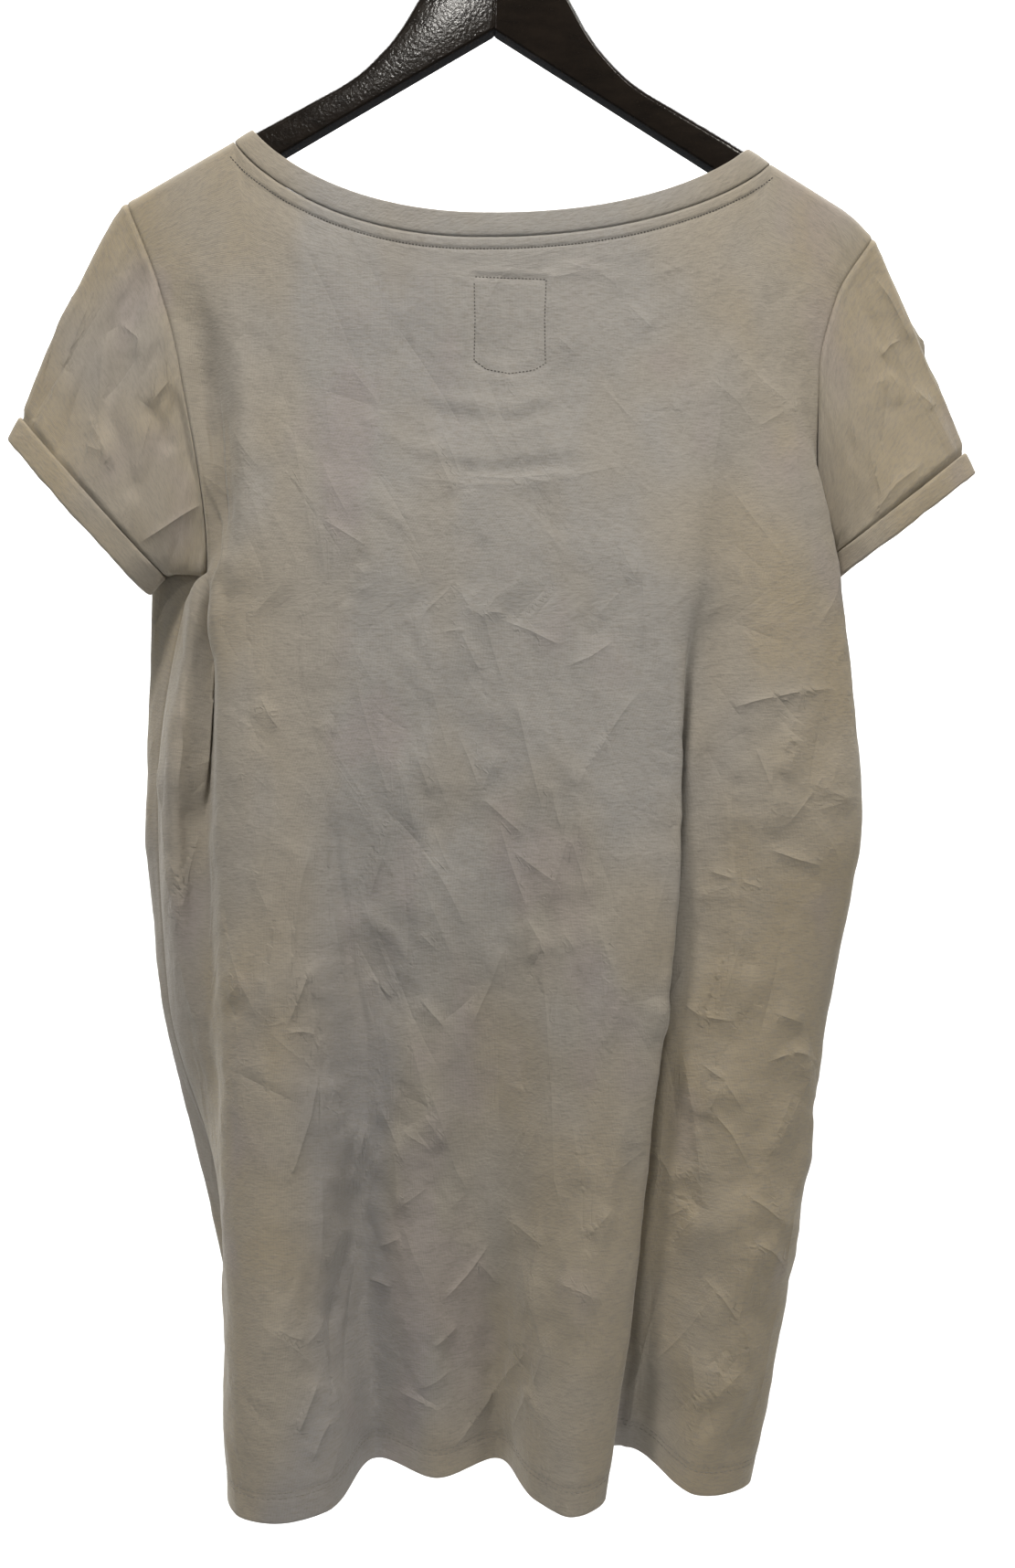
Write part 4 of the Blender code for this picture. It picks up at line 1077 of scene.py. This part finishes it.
def jersey_material(name, painted_warm_light=0.0):
    """Combed cotton jersey in warm grey: fine knit, slubs, soft sheen; painted warm light tints it tan at the
    sides and towards the hem, and painted shade makes a bluish band at the left of the back.
    """
    n = Nodes(name, Roughness=0.86, Sheen_Weight=0.3, Sheen_Roughness=0.45, Sheen_Tint=(0.9, 0.88, 0.84, 1.0),
              Specular_IOR_Level=0.2)
    uv = n.add("ShaderNodeUVMap", uv_map="flat").outputs["UV"]
    place = n.place()
    tall = n.stretched(place, 1.0, 1.0, 0.55)
    x, _, z = n.parts(place)

    # painted warm light: TAN's share grows from painted_warm_light in the middle towards the sides and
    # towards the hem; random patches add to it
    outward = n.ramp(n.math("ABSOLUTE", x), 0.07, 0.22, 0.85, painted_warm_light)
    warm = n.math("ADD", outward, n.ramp(z, -0.50, -0.86, 0.60))
    patches = n.ramp(n.cloud(tall, 13.0, 2.0, 0.55), 0.36, 0.64, 0.22, -0.22)
    warm = n.math("ADD", warm, patches, clamp=True)
    colour = n.blend(warm, COOL_GREY, TAN)
    colour = n.blend(n.ramp(n.cloud(tall, 8.0, 2.0, 0.55), 0.52, 0.70, 0.45), colour, BLUE_GREY)

    # painted bluish shade: a band down the valley at the left of the back, with a wavering edge
    waver = n.math("MULTIPLY", n.math("SUBTRACT", n.cloud(tall, 9.0, 2.0, 0.55), 0.5), 0.11)
    across = n.math("ADD", x, waver)
    band = n.math("MULTIPLY", n.ramp(across, -0.118, -0.092), n.ramp(across, -0.062, -0.034, 0.0, 1.0))
    band = n.math("MULTIPLY", band, n.ramp(z, -0.60, -0.78, 0.68))
    colour = n.blend(band, colour, BLUE_GREY)

    colour = n.blend(n.ramp(n.cloud(tall, 17.0, 2.0, 0.55), 0.55, 0.70, 0.45), colour, MAUVE)
    slub = n.cloud(n.stretched(uv, 0.22, 1.0, 1.0), 820.0, 3.0, 0.7)
    n.feed(Base_Color=n.blend(n.ramp(slub, 0.42, 0.66, 0.55), colour, SLUB))

    wales = n.bands(uv, Scale=390.0, Distortion=1.2, Detail=1.0)
    courses = n.bands(uv, Scale=460.0, Distortion=1.0, bands_direction="Y")
    # a sharp fold's section falls away on both sides of its line
    aside, height, _ = n.parts(n.add("ShaderNodeAttribute", attribute_name="crease").outputs["Vector"])
    section = n.math("EXPONENT", n.math("MULTIPLY", n.math("ABSOLUTE", aside), -1 / 1.5))
    n.bumps((n.math("ADD", wales, courses), 0.30, 0.00022), (slub, 0.55, 0.0005),
            (n.cloud(uv, 130.0, 3.0, 0.6), 0.5, 0.0009), (n.cloud(uv, 42.0, 4.0, 0.6), 0.5, 0.0022),
            (n.math("MULTIPLY", section, height), 1.0, 0.0006))
    return n.material


def thread_material(name, dark, light):
    """Twisted sewing thread."""
    n = Nodes(name, Roughness=0.6, Sheen_Weight=0.2)
    n.feed(Base_Color=n.blend(n.cloud(n.place(), 1500.0, 1.0), dark, light))
    return n.material


def wood_material():
    """Wood under thick dark paint: open grain shows as an orange peel in the gloss."""
    n = Nodes("painted_wood", Specular_IOR_Level=0.25)
    grain = n.cloud(n.stretched(n.place(), 0.35, 1.0, 1.0), 160.0, 4.0, 0.6)
    n.feed(Base_Color=n.blend(grain, (0.0045, 0.0035, 0.0028), (0.017, 0.012, 0.008)),
           Roughness=n.ramp(grain, 0.0, 1.0, 0.20, 0.13, "LINEAR"))
    n.bumps((n.cloud(n.place(), 480.0), 0.8, 0.00017))
    return n.material


def steel_material():
    """Bright wire with fine scratches."""
    n = Nodes("hook_steel", Metallic=1.0)
    scratches = n.cloud(n.place(), 240.0, 5.0, 0.7)
    n.feed(Base_Color=n.blend(scratches, (0.52, 0.53, 0.55), (0.68, 0.68, 0.68)),
           Roughness=n.ramp(scratches, 0.0, 1.0, 0.30, 0.12, "LINEAR"))
    return n.material


# ---- body -------------------------------------------------------------------------------------
def turn_in(edge, normals, inner, depths, lean=0.25):
    """Rows of cloth turned in behind a seam: the edge pulled a little to its side and into the garment."""
    back = unit(inner - edge)
    return [edge - normals * depth + back * lean for depth in depths]


def behind_seam(places, way, first):
    """Places on the flat cloth for an allowance, before its first row or column or after its last."""
    steps = ALLOWANCE[::-1] if first else ALLOWANCE
    return [places - np.multiply(way, step) if first else places + np.multiply(way, step) for step in steps]


def hem_rows(outer, normals):
    """Rows round the hem's fold and up inside it, with the length of cloth from the edge to each."""
    low, low_normal = outer[-1], normals[-1]
    down = unit(outer[-1] - outer[-3])
    rows, lengths = [], []
    for angle in (35, 70, 110, 145, 180):
        turn = math.radians(angle)
        inward, fall = HEM_FOLD * (1 - math.cos(turn)), HEM_FOLD * math.sin(turn)
        rows.append(low - low_normal * inward + down * fall)
        lengths.append(HEM_FOLD * turn)
    step = HEM_ROWS[1] / HEM_ROWS[0]
    for row in range(2, 14, 2):
        rows.append(outer[-1 - row] - normals[-1 - row] * 2 * HEM_FOLD)
        lengths.append(math.pi * HEM_FOLD + row * step)
    return rows, lengths


def build_panel(side, grid, jersey):
    """One sheet from the top edge down round the hem's fold and up inside; returns its outer face."""
    flat = flat_places(grid)
    fade = seam_fade(grid, flat)
    relief, lines = raised(grid, flat, side == "back", SEEDS[side], fade, PANEL_FOLDS)
    relief += seam_relief(grid, flat)
    outer = grid + outward_normals(grid) * relief[..., None]
    lift, (x, z), (wide, tall) = PUSHED_UP
    outer[..., 2] += lift * np.exp(-((grid[..., 0] - x) / wide) ** 2 - ((grid[..., 2] - z) / tall) ** 2)
    normals = outward_normals(outer)
    rows, lengths = hem_rows(outer, normals)
    whole = np.concatenate([outer] + [row[None] for row in rows])
    extra = np.array([[(s, flat[-1, 0, 1] + length) for s in flat[-1, :, 0]] for length in lengths])
    places = np.concatenate((flat, extra))

    # allowances at the neck, then at both side edges
    depth = 0.7 + 2.1 * within_neck(grid[0, :, 0], 3)
    allowance = turn_in(whole[0], normals[0] * depth[:, None], whole[2], (1.0, 0.45))
    whole = np.concatenate([edge[None] for edge in allowance] + [whole])
    places = np.concatenate(behind_seam(places[:1], (0, 1), True) + [places])
    all_normals = outward_normals(whole)
    sides = []
    for edge, inner in ((0, 2), (-1, -3)):
        columns = turn_in(whole[:, edge], all_normals[:, edge], whole[:, inner], (1.2, 2.8))
        sides.append([column[:, None] for column in columns])
    whole = np.concatenate(sides[0][::-1] + [whole] + sides[1], axis=1)
    places = np.concatenate(behind_seam(places[:, :1], (1, 0), True) + [places]
                            + behind_seam(places[:, -1:], (1, 0), False), axis=1)
    margins = ((2, len(whole) - 2 - len(lines)), (2, 2), (0, 0))
    piece = make_cloth(side, whole, places, jersey, lines=np.pad(lines, margins, mode="edge"))
    return piece, outer, normals


# ---- neckband ---------------------------------------------------------------------------------
def band_point(x, side, share):
    """A point on the face that carries the band, at a share of the way from its seam to its free edge."""
    centre, _, left, right = NECK_CURVES[side + "_seam"][:4]
    edge_centre, _, edge_left, edge_right = NECK_CURVES[side + "_edge"][:4]
    if x < centre:
        edge_x = edge_centre + (x - centre) / (left - centre) * (edge_left - edge_centre)
    else:
        edge_x = edge_centre + (x - centre) / (right - centre) * (edge_right - edge_centre)
    seam_z = float(neck_height(side + "_seam", x))
    edge_z = float(neck_height(side + "_edge", edge_x))
    at_x = x + share * (edge_x - x)
    at_z = seam_z + share * (edge_z - seam_z)
    return np.array((at_x, float(hanging_depth(at_x, at_z, side)), at_z))


def build_neckband(back, front, jersey):
    """A doubled band, folded at its free edge; its section runs up the outside and down the inside."""
    ring = []
    for side, grid in (("back", back), ("front", front)):
        columns = [k for k, point in enumerate(grid[0])
                   if LEFT_NECK_POINT - BAND_END < point[0] < RIGHT_NECK_POINT + BAND_END]
        ring += [(side, grid[0, k, 0]) for k in columns[:-1]]
    shares = (0.03, 0.1, 0.2, 0.35, 0.5, 0.65, 0.8, 0.92, 0.97)
    stands = (0.2, 0.75) + (1.0,) * (len(shares) - 2)       # of the band's full height over the cloth
    half = BAND_WALL / 2
    section = []
    for side, x in ring:
        points = [band_point(x, side, share) for share in shares]
        normals = [hanging_normal(point[0], point[2], side) for point in points]
        upward = unit(points[-1] - points[-2])
        centre = points[-1] + normals[-1] * (half - WALL)
        line = [points[0] - normals[0] * depth for depth in (2.4, 1.0)]
        for point, normal, share, stand in zip(points, normals, shares, stands):
            line.append(point + normal * ((BAND_WALL - WALL) * stand + 0.25 * math.sin(math.pi * share)))
        for angle in (60, 90, 120):
            turn = math.radians(angle)
            line.append(centre + normals[-1] * half * math.cos(turn) + upward * half * math.sin(turn) * 0.9)
        line += [points[k] - normals[k] * WALL for k in range(len(points) - 1, -1, -2)]
        section.append(line)
    grid = np.array(section).transpose(1, 0, 2)
    flat = flat_places(grid, closed=True)
    s, down = flat[..., 0], flat[..., 1]
    ripple = 0.16 * noise(s / 7, down / 9, SEEDS["band_fine"])
    ripple += 0.3 * noise(s / 38, down / 20, SEEDS["band_wide"])
    ripple = ripple * bell(down - 8, 7)
    grid = grid + outward_normals(grid, closed=True, turn=-1) * ripple[..., None]
    return make_cloth("neckband", grid, flat, jersey, closed=True, flip=True)


# ---- sleeves ----------------------------------------------------------------------------------
def armhole(panels, left):
    """Points round an armhole, from the tip over the back to the armpit and up the front."""
    back_edge, front_edge = (0, -1) if left else (-1, 0)
    points, pulls = [], []
    for side, edge, rows in (("back", back_edge, range(ARMPIT_ROW + 1)),
                             ("front", front_edge, range(ARMPIT_ROW - 1, 0, -1))):
        grid = panels[side]
        beside = 1 if edge == 0 else -2
        for row in rows:
            points.append(grid[row, edge])
            pulls.append(unit(grid[row, edge] - grid[row, beside]))
    return np.array(points), np.array(pulls)


def sleeve_loop(row, shares):
    """Points round a sleeve's end, from its top over the back to the underarm and up the front."""
    (x, y, drop), half, (run, fall), depth = row
    centre = np.array((x, y, -drop))
    down = unit(np.array((run, 0.0, fall)))
    angle = 2 * np.pi * np.array(shares)
    fullness = 0.72 - 0.28 * np.cos(angle)
    side = np.stack((np.zeros_like(angle), -np.sin(angle) * depth * fullness, np.zeros_like(angle)), axis=1)
    return centre - down * half * np.cos(angle)[:, None] + side


def loop_shares(points):
    """How far round an armhole each of its points lies; the underarm is at one half."""
    half = len(points) // 2
    steps = np.linalg.norm(np.roll(points, -1, axis=0) - points, axis=1)
    shares = []
    for first in (0, half):
        lengths = np.concatenate(((0,), np.cumsum(steps[first:first + half])))
        shares += list(0.5 * lengths[:-1] / lengths[-1] + (0.5 if first else 0.0))
    return shares


def build_sleeve(side, panels, jersey):
    """A sleeve from its armhole to the crease of its cuff, and the cuff."""
    left = side == "left"
    turn = 1 if left else -1
    start, pulls = armhole(panels, left)
    shares = loop_shares(start)
    crease = sleeve_loop(SLEEVES[side]["crease"], shares)
    end = sleeve_loop(SLEEVES[side]["end"], shares)
    axis = unit(end.mean(axis=0) - crease.mean(axis=0))
    reach = np.linalg.norm(crease - start, axis=1, keepdims=True)
    tipward = np.abs(1 - 2 * np.array(shares))[:, None]
    leave = unit(pulls * tipward * 0.6 + axis) * reach * SLEEVE_PULL
    arrive = unit(axis + unit(crease - start)) * reach * SLEEVE_PULL
    rows = [0.0] + [step / SLEEVE_LENGTH for step in SIDE_STEPS]
    rows += [rows[-1] + (1 - rows[-1]) * row / SLEEVE_ROWS for row in range(1, SLEEVE_ROWS + 1)]
    grid = np.array([hermite(start, crease, leave, arrive, row) for row in rows])
    flat = flat_places(grid, closed=True)
    share = np.array(rows)[:, None]
    from_underarm = np.abs(np.array(shares) - 0.5)
    fade = smooth(0.0, 0.12, share) * smooth(1.0, 0.93, share) * smooth(0.0, 0.03, from_underarm)[None]
    steps = np.linalg.norm(grid[1:] - grid[:-1], axis=-1)
    out = np.concatenate((np.zeros((1, grid.shape[1])), np.cumsum(steps, axis=0)))
    girth = np.linalg.norm(np.roll(grid, -1, axis=1) - grid, axis=-1).sum(axis=1)[:, None]
    lift, lines = raised(grid, flat, True, SEEDS["sleeve_" + side], fade, SLEEVE_FOLDS)
    lift += seam_form(out, 0.85) - 1.1 * smooth(0.93, 1.0, share)
    lift += seam_form(from_underarm * girth, 0.3) * smooth(0.0, 0.1, share)
    normals = outward_normals(grid, closed=True, turn=turn)
    outer = grid + normals * lift[..., None]
    allowance = [edge[None] for edge in turn_in(outer[0], normals[0], outer[2], (2.8, 1.2))]
    whole = np.concatenate(allowance + [outer])
    places = np.concatenate(behind_seam(flat[:1], (0, 1), True) + [flat])
    lines = np.pad(lines, ((2, 0), (0, 0), (0, 0)), mode="edge")
    piece = make_cloth("sleeve_" + side, whole, places, jersey, closed=True, flip=not left, lines=lines)
    return piece, build_cuff(side, crease, end, axis, turn, jersey)


def build_cuff(side, crease, end, axis, turn, jersey):
    """The turned-up end: its section runs from the crease over the outside to the fold and up inside."""
    normals = outward_normals(np.array([crease, end]), closed=True, turn=turn)
    inner = CUFF_WALL - CUFF_STAND
    half = CUFF_WALL / 2
    fold_centre = end - axis * half + normals[1] * (CUFF_STAND - inner) / 2
    outside = ((0.0, -0.3), (0.0, 0.5), (0.03, 0.9), (0.08, 1.05), (0.2, 1.0), (0.35, 1.1), (0.5, 1.2),
               (0.65, 1.15), (0.8, 1.05), (0.9, 1.0))       # share of the way to the end, share of the stand
    inside = [(share, -inner / CUFF_STAND) for share in (0.85, 0.6, 0.3, 0.0)]

    def between(share, stand):
        normal = normals[0] * (1 - share) + normals[1] * share
        return crease * (1 - share) + end * share + normal * CUFF_STAND * stand

    rows = [between(*step) for step in outside]
    for angle in (20, 50, 90, 130, 160):
        bend = math.radians(angle)
        rows.append(fold_centre + normals[1] * half * math.cos(bend) + axis * half * math.sin(bend))
    rows += [between(*step) for step in inside]
    grid = np.array(rows)
    flat = flat_places(grid, closed=True)
    s, t = flat[..., 0], flat[..., 1]
    ripple = 1.1 * noise(s / 30, t / 34, SEEDS["cuff_" + side])
    ripple += 0.3 * noise(s / 9, t / 11, SEEDS["cuffs_fine"]) + 0.5
    ripple[:3] = 0.0
    ripple[15:] = 0.0
    grid = grid + outward_normals(grid, closed=True, turn=turn) * ripple[..., None]
    return make_cloth("cuff_" + side, grid, flat, jersey, closed=True, flip=side == "right")


# ---- hanger and hook --------------------------------------------------------------------------
GROOVE = 0.5            # depth of the joint between the two arms at the middle
GROOVE_REACH = 0.8
CORNER_STEPS = 8
HOOK_STEPS = 60
NECK_STEPS = 12


def hanger_section(x, shrink):
    """One section of the hanger: a box with rounded corners, smaller where its arm ends."""
    groove = GROOVE * max(0.0, 1 - abs(x) / GROOVE_REACH)
    upper = float(arm_top(x))
    lower = -abs(x) * UNDERSIDE_SLOPE - UNDERSIDE_ROUND
    middle = (upper + lower) / 2
    half_height = (upper - lower) / 2 * shrink - groove
    half_thick = ARM_THICK / 2 * (0.55 + 0.45 * shrink) - groove
    row = []
    for corner_y, corner_z, radius, first in ((1, 1, TOP_ROUND, 90), (1, -1, UNDER_ROUND, 0),
                                              (-1, -1, UNDER_ROUND, -90), (-1, 1, TOP_ROUND, -180)):
        corner = min(radius, half_thick - 0.2, half_height - 0.2)
        for step in range(CORNER_STEPS + 1):
            angle = math.radians(first - 90 * step / CORNER_STEPS)
            y = float(arm_middle(x)) + corner_y * (half_thick - corner) + corner * math.cos(angle)
            z = middle + corner_z * (half_height - corner) + corner * math.sin(angle)
            row.append((x, y, z))
    return row


def build_hanger(paint):
    inner = ARM_REACH - NOSE
    stations = [(x, 1.0) for x in (0, 0.35, GROOVE_REACH, 1.6)]
    stations += [(x, 1.0) for x in np.arange(4.0, inner, 3.0)] + [(inner, 1.0)]
    for angle in range(6, 91, 6):
        turn = math.radians(angle)
        stations.append((inner + NOSE * math.sin(turn), 0.12 + 0.88 * math.cos(turn)))
    stations = [(-x, shrink) for x, shrink in stations[:0:-1]] + stations
    grid = np.array([hanger_section(x, shrink) for x, shrink in stations])
    count = grid.shape[1]
    faces = grid_faces(len(grid), count, True)
    faces += [tuple(range(count)), tuple(range(len(grid) * count - 1, (len(grid) - 1) * count - 1, -1))]
    return make_mesh("painted_hanger", grid.reshape(-1, 3), faces, paint, solid="hanger")


def hook_route():
    """The wire's middle line as (x, z), from the hook's tip down into the wood."""
    radius = HOOK_INNER + WIRE / 2
    route = []
    for step in range(HOOK_STEPS + 1):
        angle = HOOK_TIP + (HOOK_TURN - HOOK_TIP) * step / HOOK_STEPS
        route.append((radius * math.cos(angle), -HOOK_INNER + radius * math.sin(angle)))
    heading = HOOK_TURN - math.pi * 1.5
    down = -math.pi / 2
    sideways = -route[-1][0] - NECK_BEND * (math.sin(heading) - math.sin(down))
    straight = sideways / math.cos(heading)
    x, z = route[-1][0] + sideways, route[-1][1] + straight * math.sin(heading)
    for step in range(NECK_STEPS + 1):
        turned = heading + (down - heading) * step / NECK_STEPS
        route.append((x + NECK_BEND * (math.sin(heading) - math.sin(turned)),
                      z + NECK_BEND * (math.cos(turned) - math.cos(heading))))
    route.append((0.0, APEX_Z + HANGER_TOP[0][1] - STEM_SEAT))
    return route


def build_hook(steel):
    curve = bpy.data.curves.new("wire_hook", "CURVE")
    curve.dimensions = "3D"
    curve.bevel_depth = WIRE / 2 * MM
    curve.bevel_resolution = 8
    curve.use_fill_caps = True
    route = hook_route()
    spline = curve.splines.new("POLY")
    spline.points.add(len(route) - 1)
    for point, (x, z) in zip(spline.points, route):
        point.co = (x * MM, 0.0, z * MM, 1.0)
    spline.use_smooth = True
    curve.materials.append(steel)
    return add_piece("wire_hook", curve, "hook")


# ---- sewing -----------------------------------------------------------------------------------
class Surface:
    """An outer face to lay stitches on."""

    def __init__(self, grid, normals):
        self.grid = grid
        self.normals = normals
        self.tree = BVHTree.FromPolygons([Vector(p) for p in grid.reshape(-1, 3)],
                                         grid_faces(*grid.shape[:2], False))

    def run(self, places, outward):
        """The nearest points on the face to some places, with the face's normals there."""
        points, normals = [], []
        for place, out in zip(places, outward):
            point, normal, _, _ = self.tree.find_nearest(Vector(place))
            normal = np.array(normal)
            points.append(np.array(point))
            normals.append(normal if normal @ out >= 0 else -normal)
        return points, normals

    def seen_at(self, x, y):
        """The point that the camera sees at a place on the picture plane."""
        across, down = x - CENTRE[0], y - CENTRE[1]
        level = across + ROLL * down
        lower = down - ROLL * across
        way = Vector((level, FOCAL, -lower)).normalized()
        eye = Vector((EYE[0], EYE[1], EYE[2] - APEX_Z))
        place, normal, _, _ = self.tree.ray_cast(eye, way)
        normal = np.array(normal)
        return np.array(place), normal if normal[1] < 0 else -normal


def neck_runs(surfaces):
    """The row of stitches below the neckband's seam, on the back and on the front."""
    runs = []
    for surface in surfaces.values():
        grid, normals = surface.grid, surface.normals
        columns = [k for k, point in enumerate(grid[0])
                   if LEFT_NECK_POINT + 4 < point[0] < RIGHT_NECK_POINT - 4]
        top = grid[0, columns]
        outward = normals[6, columns]
        down = unit(np.cross(outward, unit(np.gradient(top, axis=0))))
        down *= np.sign((down * (grid[12, columns] - top)).sum(axis=1))[:, None]
        runs.append(surface.run(top + down * NECK_STITCH, outward))
    return runs


def hem_runs(surfaces):
    """The hem's two rows of stitches, on the back and on the front."""
    runs = []
    for surface in surfaces.values():
        low = surface.grid[-1]
        up = unit(surface.grid[-8] - low)
        runs += [surface.run(low + up * height, surface.normals[-8]) for height in HEM_STITCHES]
    return runs


def label_runs(surface):
    """The stitched box at the centre back, where the camera sees it."""
    corners = np.array(LABEL_BOX, float)
    seen = []
    for start, end in zip(corners[:-1], corners[1:]):
        count = max(2, int(np.linalg.norm(end - start) / 3))
        seen += [surface.seen_at(*(start + (end - start) * step / count)) for step in range(count)]
    return [tuple(zip(*seen))]


# ---- light and camera -------------------------------------------------------------------------
FLOOR_DROP = 2.2        # m below the hook's seat
FLOOR_FROM = -3.0       # the floor's front edge, m from the dress
FLOOR_TO = 1.2          # where the floor begins to sweep up
SWEEP = 1.2             # radius of the sweep
FLOOR_TOP = 5.0
FLOOR_HALF = 6.0
GLOW = (0.82, 0.91, 1.0, 1.0)
GLOW_STRENGTH = 0.12
WHITE = (1.0, 1.0, 1.0, 1.0)

# place and aim in m, size in m, power in W, colour
LIGHTS = {
    "key": ((-0.60, -1.15, 1.65), (0.10, 0.0, -0.60), (0.32, 0.26), 49.5, (1.0, 0.96, 0.91)),
    "fill": ((1.10, -1.00, 0.85), (0.30, 0.0, -0.30), (0.4, 0.4), 17.5, (1.0, 0.95, 0.87)),
    "glint": ((-0.33, -1.36, 0.52), (-0.03, 0.0, -0.11), (0.09, 0.07), 3.6, (1.0, 0.97, 0.92)),
    "backdrop": ((0.0, 0.9, 1.2), (0.0, 2.2, -0.9), (3.5, 1.0), 120.0, (1.0, 1.0, 1.0)),
}


def build_camera():
    camera = bpy.data.cameras.new("camera")
    camera.lens = FOCAL / PICTURE_HEIGHT * SENSOR
    camera.sensor_width = SENSOR
    camera.clip_end = 50.0
    viewer = bpy.data.objects.new("camera", camera)
    right = Vector((1, 0, ROLL)).normalized()
    up = Vector((-ROLL, 0, 1)).normalized()
    turn = Matrix((right, up, Vector((0, -1, 0)))).transposed().to_4x4()
    viewer.matrix_world = Matrix.Translation(Vector(EYE) * MM) @ turn
    bpy.context.collection.objects.link(viewer)
    bpy.context.scene.camera = viewer


def build_floor():
    """A pale floor that sweeps up behind the dress."""
    profile = [(FLOOR_FROM, 0.0), (FLOOR_TO, 0.0)]
    for angle in range(6, 91, 6):
        turn = math.radians(angle)
        profile.append((FLOOR_TO + SWEEP * math.sin(turn), SWEEP - SWEEP * math.cos(turn)))
    profile.append((FLOOR_TO + SWEEP, FLOOR_TOP))
    vertices = [(x, y, z - FLOOR_DROP) for y, z in profile for x in (-FLOOR_HALF, FLOOR_HALF)]
    faces = [(2 * k, 2 * k + 1, 2 * k + 3, 2 * k + 2) for k in range(len(profile) - 1)]
    mesh = bpy.data.meshes.new("floor")
    mesh.from_pydata(vertices, [], faces)
    mesh.shade_smooth()
    n = Nodes("floor", Roughness=0.9, Specular_IOR_Level=0.1)
    n.feed(Base_Color=n.blend(n.cloud(n.place(), 0.8, 1.0), (0.93, 0.93, 0.93), (0.96, 0.96, 0.96)))
    mesh.materials.append(n.material)
    floor = bpy.data.objects.new("floor", mesh)
    bpy.context.collection.objects.link(floor)
    floor.visible_glossy = False


def build_world():
    """A weak bluish glow on the dress, before a plain white background."""
    world = bpy.data.worlds.new("world")
    world.use_nodes = True
    tree = world.node_tree
    glow = tree.nodes["Background"]
    glow.inputs["Color"].default_value = GLOW
    glow.inputs["Strength"].default_value = GLOW_STRENGTH
    plain = tree.nodes.new("ShaderNodeBackground")
    plain.inputs["Color"].default_value = WHITE
    ray = tree.nodes.new("ShaderNodeLightPath")
    mixed = tree.nodes.new("ShaderNodeMixShader")
    tree.links.new(ray.outputs["Is Camera Ray"], mixed.inputs[0])
    tree.links.new(glow.outputs["Background"], mixed.inputs[1])
    tree.links.new(plain.outputs["Background"], mixed.inputs[2])
    tree.links.new(mixed.outputs["Shader"], tree.nodes["World Output"].inputs["Surface"])
    bpy.context.scene.world = world
    bpy.context.scene.view_settings.view_transform = "Standard"


def build_lights():
    for name, (place, aim, size, power, colour) in LIGHTS.items():
        light = bpy.data.lights.new(name, "AREA")
        light.shape = "RECTANGLE"
        light.size, light.size_y = size
        light.energy = power
        light.color = colour
        lamp = bpy.data.objects.new(name, light)
        lamp.location = place
        lamp.rotation_mode = "QUATERNION"
        lamp.rotation_quaternion = (Vector(aim) - Vector(place)).to_track_quat("-Z", "Y")
        bpy.context.collection.objects.link(lamp)


def main():
    build_camera()
    build_floor()
    build_world()
    build_lights()
    jersey = jersey_material("jersey")
    # the sleeves and cuffs get a copy of the jersey with more painted warm light
    sleeve_jersey_warm_lit = jersey_material("jersey_sleeves_warm_lit", 0.70)
    thread = thread_material("thread", (0.16, 0.145, 0.12), (0.30, 0.275, 0.235))
    # the neck and label stitches get darker thread: painted shade of their needle holes and of the pull-in
    # beside them
    thread_with_painted_shade = thread_material("thread_in_shade", (0.045, 0.040, 0.034), (0.13, 0.118, 0.10))
    back_levels, front_levels = body_levels()
    panels = {
        "back": panel_grid(back_levels, BACK_FOLDS, "back", 0),
        "front": panel_grid(front_levels, FRONT_FOLDS[::-1], "front", len(BACK_FOLDS) - 1),
    }
    pieces = {}
    surfaces = {}
    for side, grid in panels.items():
        pieces[side], outer, normals = build_panel(side, grid, jersey)
        surfaces[side] = Surface(outer, normals)
    pieces["neckband"] = build_neckband(panels["back"], panels["front"], jersey)
    for side in SLEEVES:
        pieces["sleeve_" + side], pieces["cuff_" + side] = build_sleeve(side, panels, sleeve_jersey_warm_lit)
    hanger = build_hanger(wood_material())
    build_hook(steel_material())

    # pitch, length and radius of the stitches in mm
    neck = dashes("neck_stitches", neck_runs(surfaces), 2.1, 1.5, 0.40, thread_with_painted_shade)
    hem = dashes("hem_stitches", hem_runs(surfaces), 3.4, 2.7, 0.24, thread)
    label = dashes("label_stitches", label_runs(surfaces["back"]), 2.2, 1.5, 0.33, thread_with_painted_shade)


main()
